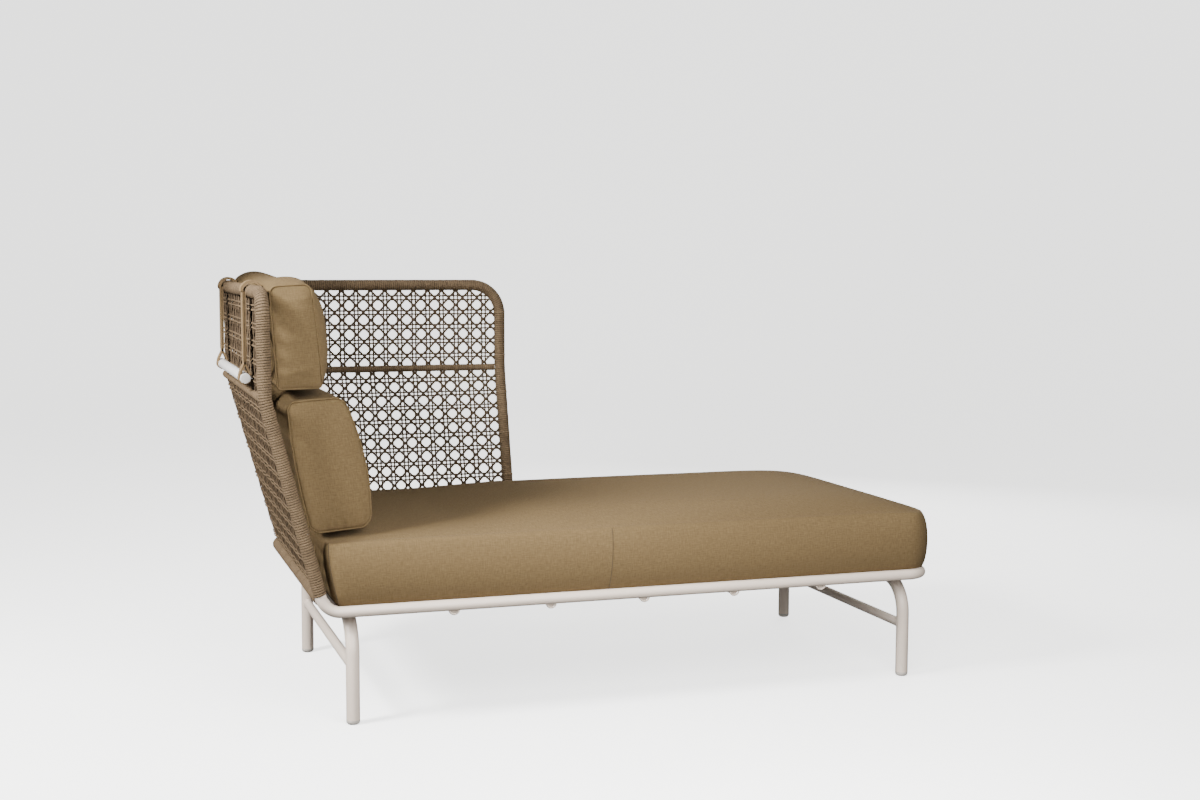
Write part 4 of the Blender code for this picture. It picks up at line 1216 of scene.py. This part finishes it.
# Back cushion and head cushion
# Each has one panel wrapped round it and a sewn cap at each end, with a thin welt in the cap's seam. The back
# cushion stands on the seat against the weave; the head cushion hangs on the straps above it.
WELT_RADIUS = 0.0017
WELT_STEPS = 40
WELT_LEVEL = 2
BACK_CELL = 0.0072
BACK_LIMIT = 0.006
PANEL_FULLNESS = 4
TOP_FULLNESS = 2.4
CAP_FULLNESS = 3
REAR_FALL = 2
REAR_HOLLOW = 0.030
GATHER_DEPTH = 0.0085
GATHER_WAVES = 9.0
GATHER_REACH = 0.17
CORNER_FOLD = 0.0030
CORNER_FOLD_PLACE = (-0.85, 0.8)
CORNER_FOLD_REACH = 0.06
FOLD_START = 0.04
HEAD_FOLDS = ((0.70, 0.05, 0.050, 0.0030), (0.56, -0.04, 0.060, 0.0022),
              (-0.66, 0.06, 0.055, 0.0028), (-0.05, 0.10, 0.090, 0.0012))
HEAD_RISE = 0.006
RISE_PLACE = 0.85
RISE_REACH = 0.35
DIP_PLACE = -0.10
DIP_REACH = 0.40


def capped_form(corners, ends, rounding, bows, bulges, cap_bulge, reach, lump):
    """Form of a cushion with sewn end caps, from its cap's corners (low rear, low front, high rear, high
    front), its ends, the rounding below and above, the bows of rear and front, and how far the rear, front,
    bottom, top and caps bulge."""
    low_rear, low_front, high_rear, high_front = (Vector((x, 0.0, z)) for x, z in corners)
    near, far = ends
    half_length = (far - near) / 2
    half_deep = (low_front - low_rear + high_front - high_rear).length / 4
    half_tall = (high_rear - low_rear + high_front - low_front).length / 4
    forward = (low_front - low_rear).normalized()
    upward = (high_rear - low_rear).normalized()

    def form(a, b, c):
        flat, away = round_corners(a * half_deep, c * half_tall, half_deep, half_tall,
                                   rounding[1] if c > 0 else rounding[0])
        share_a, share_c = (flat.x / half_deep + 1) / 2, (flat.y / half_tall + 1) / 2
        point = low_rear.lerp(low_front, share_a).lerp(high_rear.lerp(high_front, share_a), share_c)
        point += forward * (bows[1] if a > 0 else bows[0]) * a * (1 - c * c)
        rise = puff((1 - abs(b)) * half_length, reach)
        across, along_side = (bulges[0 if a < 0 else 1], c) if abs(away.x) > abs(away.y) else (
            bulges[2 if c < 0 else 3] + (lump(b) if c > 0 else 0.0), a)
        fullness = PANEL_FULLNESS if abs(away.x) > abs(away.y) else TOP_FULLNESS
        if max(abs(a), abs(c)) > ON_EDGE:
            raised = across * rise * (1 - abs(along_side) ** fullness)
            if a < -ON_EDGE:
                upper = (1 + c) / 2
                raised = rise * (1 - abs(c) ** fullness) * (
                    across * upper ** REAR_FALL - REAR_HOLLOW * (1 - upper ** REAR_FALL))
            point += (forward * away.x + upward * away.y) * raised
        along = near + half_length * (1 + b)
        if abs(b) > ON_EDGE:
            held = (1 - abs(a) ** CAP_FULLNESS) * (1 - abs(c) ** PANEL_FULLNESS)
            along += math.copysign(cap_bulge * held, b)
        return spot(point.x, along, point.z)

    return form


def cap_seam(a, b, c):
    """Whether a place on the block lies on the seam of an end cap."""
    return abs(b) > ON_EDGE and max(abs(a), abs(c)) > ON_EDGE


def add_capped(name, corners, ends, rounding, bows, bulges, cap_bulge, reach, lump, folds):
    """Cushion with sewn end caps and welts, on its body."""
    form = capped_form(corners, ends, rounding, bows, bulges, cap_bulge, reach, lump)

    def crease(a, b, c):
        on_cap = abs(b) > ON_EDGE and not cap_seam(a, b, c)
        return Vector((0.0, math.copysign(folds(a, c), b) if on_cap else 0.0, 0.0))

    size = (corners[1][0] - corners[0][0], ends[1] - ends[0], corners[2][1] - corners[0][1])
    cushion = add_cushion(f"{name}_pad", size, BACK_CELL, form, cap_seam, BACK_LIMIT, crease)
    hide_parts(f"{name}_cushion")
    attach(cushion, f"{name}_rest")
    loops = [[form(a, b, c) for a, c in square_loop(WELT_STEPS)] for b in (-1.0, 1.0)]
    welts = make_piece(f"{name}_welts", sweep("welts", loops, WELT_RADIUS, WELT_LEVEL, closed=True),
                       seam_cloth)
    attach(welts, f"{name}_rest")


def back_folds(a, c):
    """Gathers along the bottom seam of the back cushion's cap, and two at its upper rear corner."""
    waves = -(1 - abs(math.sin(GATHER_WAVES * a + 1.2 * math.sin(3.0 * a + 1.0)))) ** 2
    low = GATHER_DEPTH * waves * math.exp(-(1 + c) / GATHER_REACH) * (1 - abs(a) ** 6)
    apart = (a - CORNER_FOLD_PLACE[0]) ** 2 + (c - CORNER_FOLD_PLACE[1]) ** 2
    high = CORNER_FOLD * math.cos(GATHER_WAVES * (a + c)) * math.exp(-apart / CORNER_FOLD_REACH)
    return (low + high) * min(1.0, (1 + c) / FOLD_START)


def head_folds(a, c):
    """Shallow level folds across the head cushion's cap."""
    depth = 0.0
    for level, tilt, width, sunk in HEAD_FOLDS:
        depth -= sunk * math.exp(-((c - level - tilt * a) / width) ** 2)
    return depth * (1 - abs(a) ** 5)


def level_top(b):
    """Even top."""
    return 0.0


def head_lump(b):
    """Uneven top of the head cushion: a shallow dip in its middle and a fuller far end."""
    dip = math.exp(-((b - DIP_PLACE) / DIP_REACH) ** 2)
    return HEAD_RISE * (math.exp(-((b - RISE_PLACE) / RISE_REACH) ** 2) - dip)


add_capped("back", corners=((-0.018, 0.421), (0.109, 0.432), (-0.067, 0.703), (0.051, 0.712)),
           ends=(0.054, 0.762), rounding=(0.022, 0.018), bows=(0.007, 0.018),
           bulges=(0.018, 0.005, -0.009, 0.009), cap_bulge=0.012, reach=0.030,
           lump=level_top, folds=back_folds)
add_capped("head", corners=((-0.086, 0.731), (0.008, 0.733), (-0.101, 0.948), (-0.014, 0.953)),
           ends=(0.054, 0.834), rounding=(0.010, 0.017), bows=(0.0, 0.002),
           bulges=(0.006, 0.031, 0.001, 0.019), cap_bulge=0.011, reach=0.028,
           lump=head_lump, folds=head_folds)
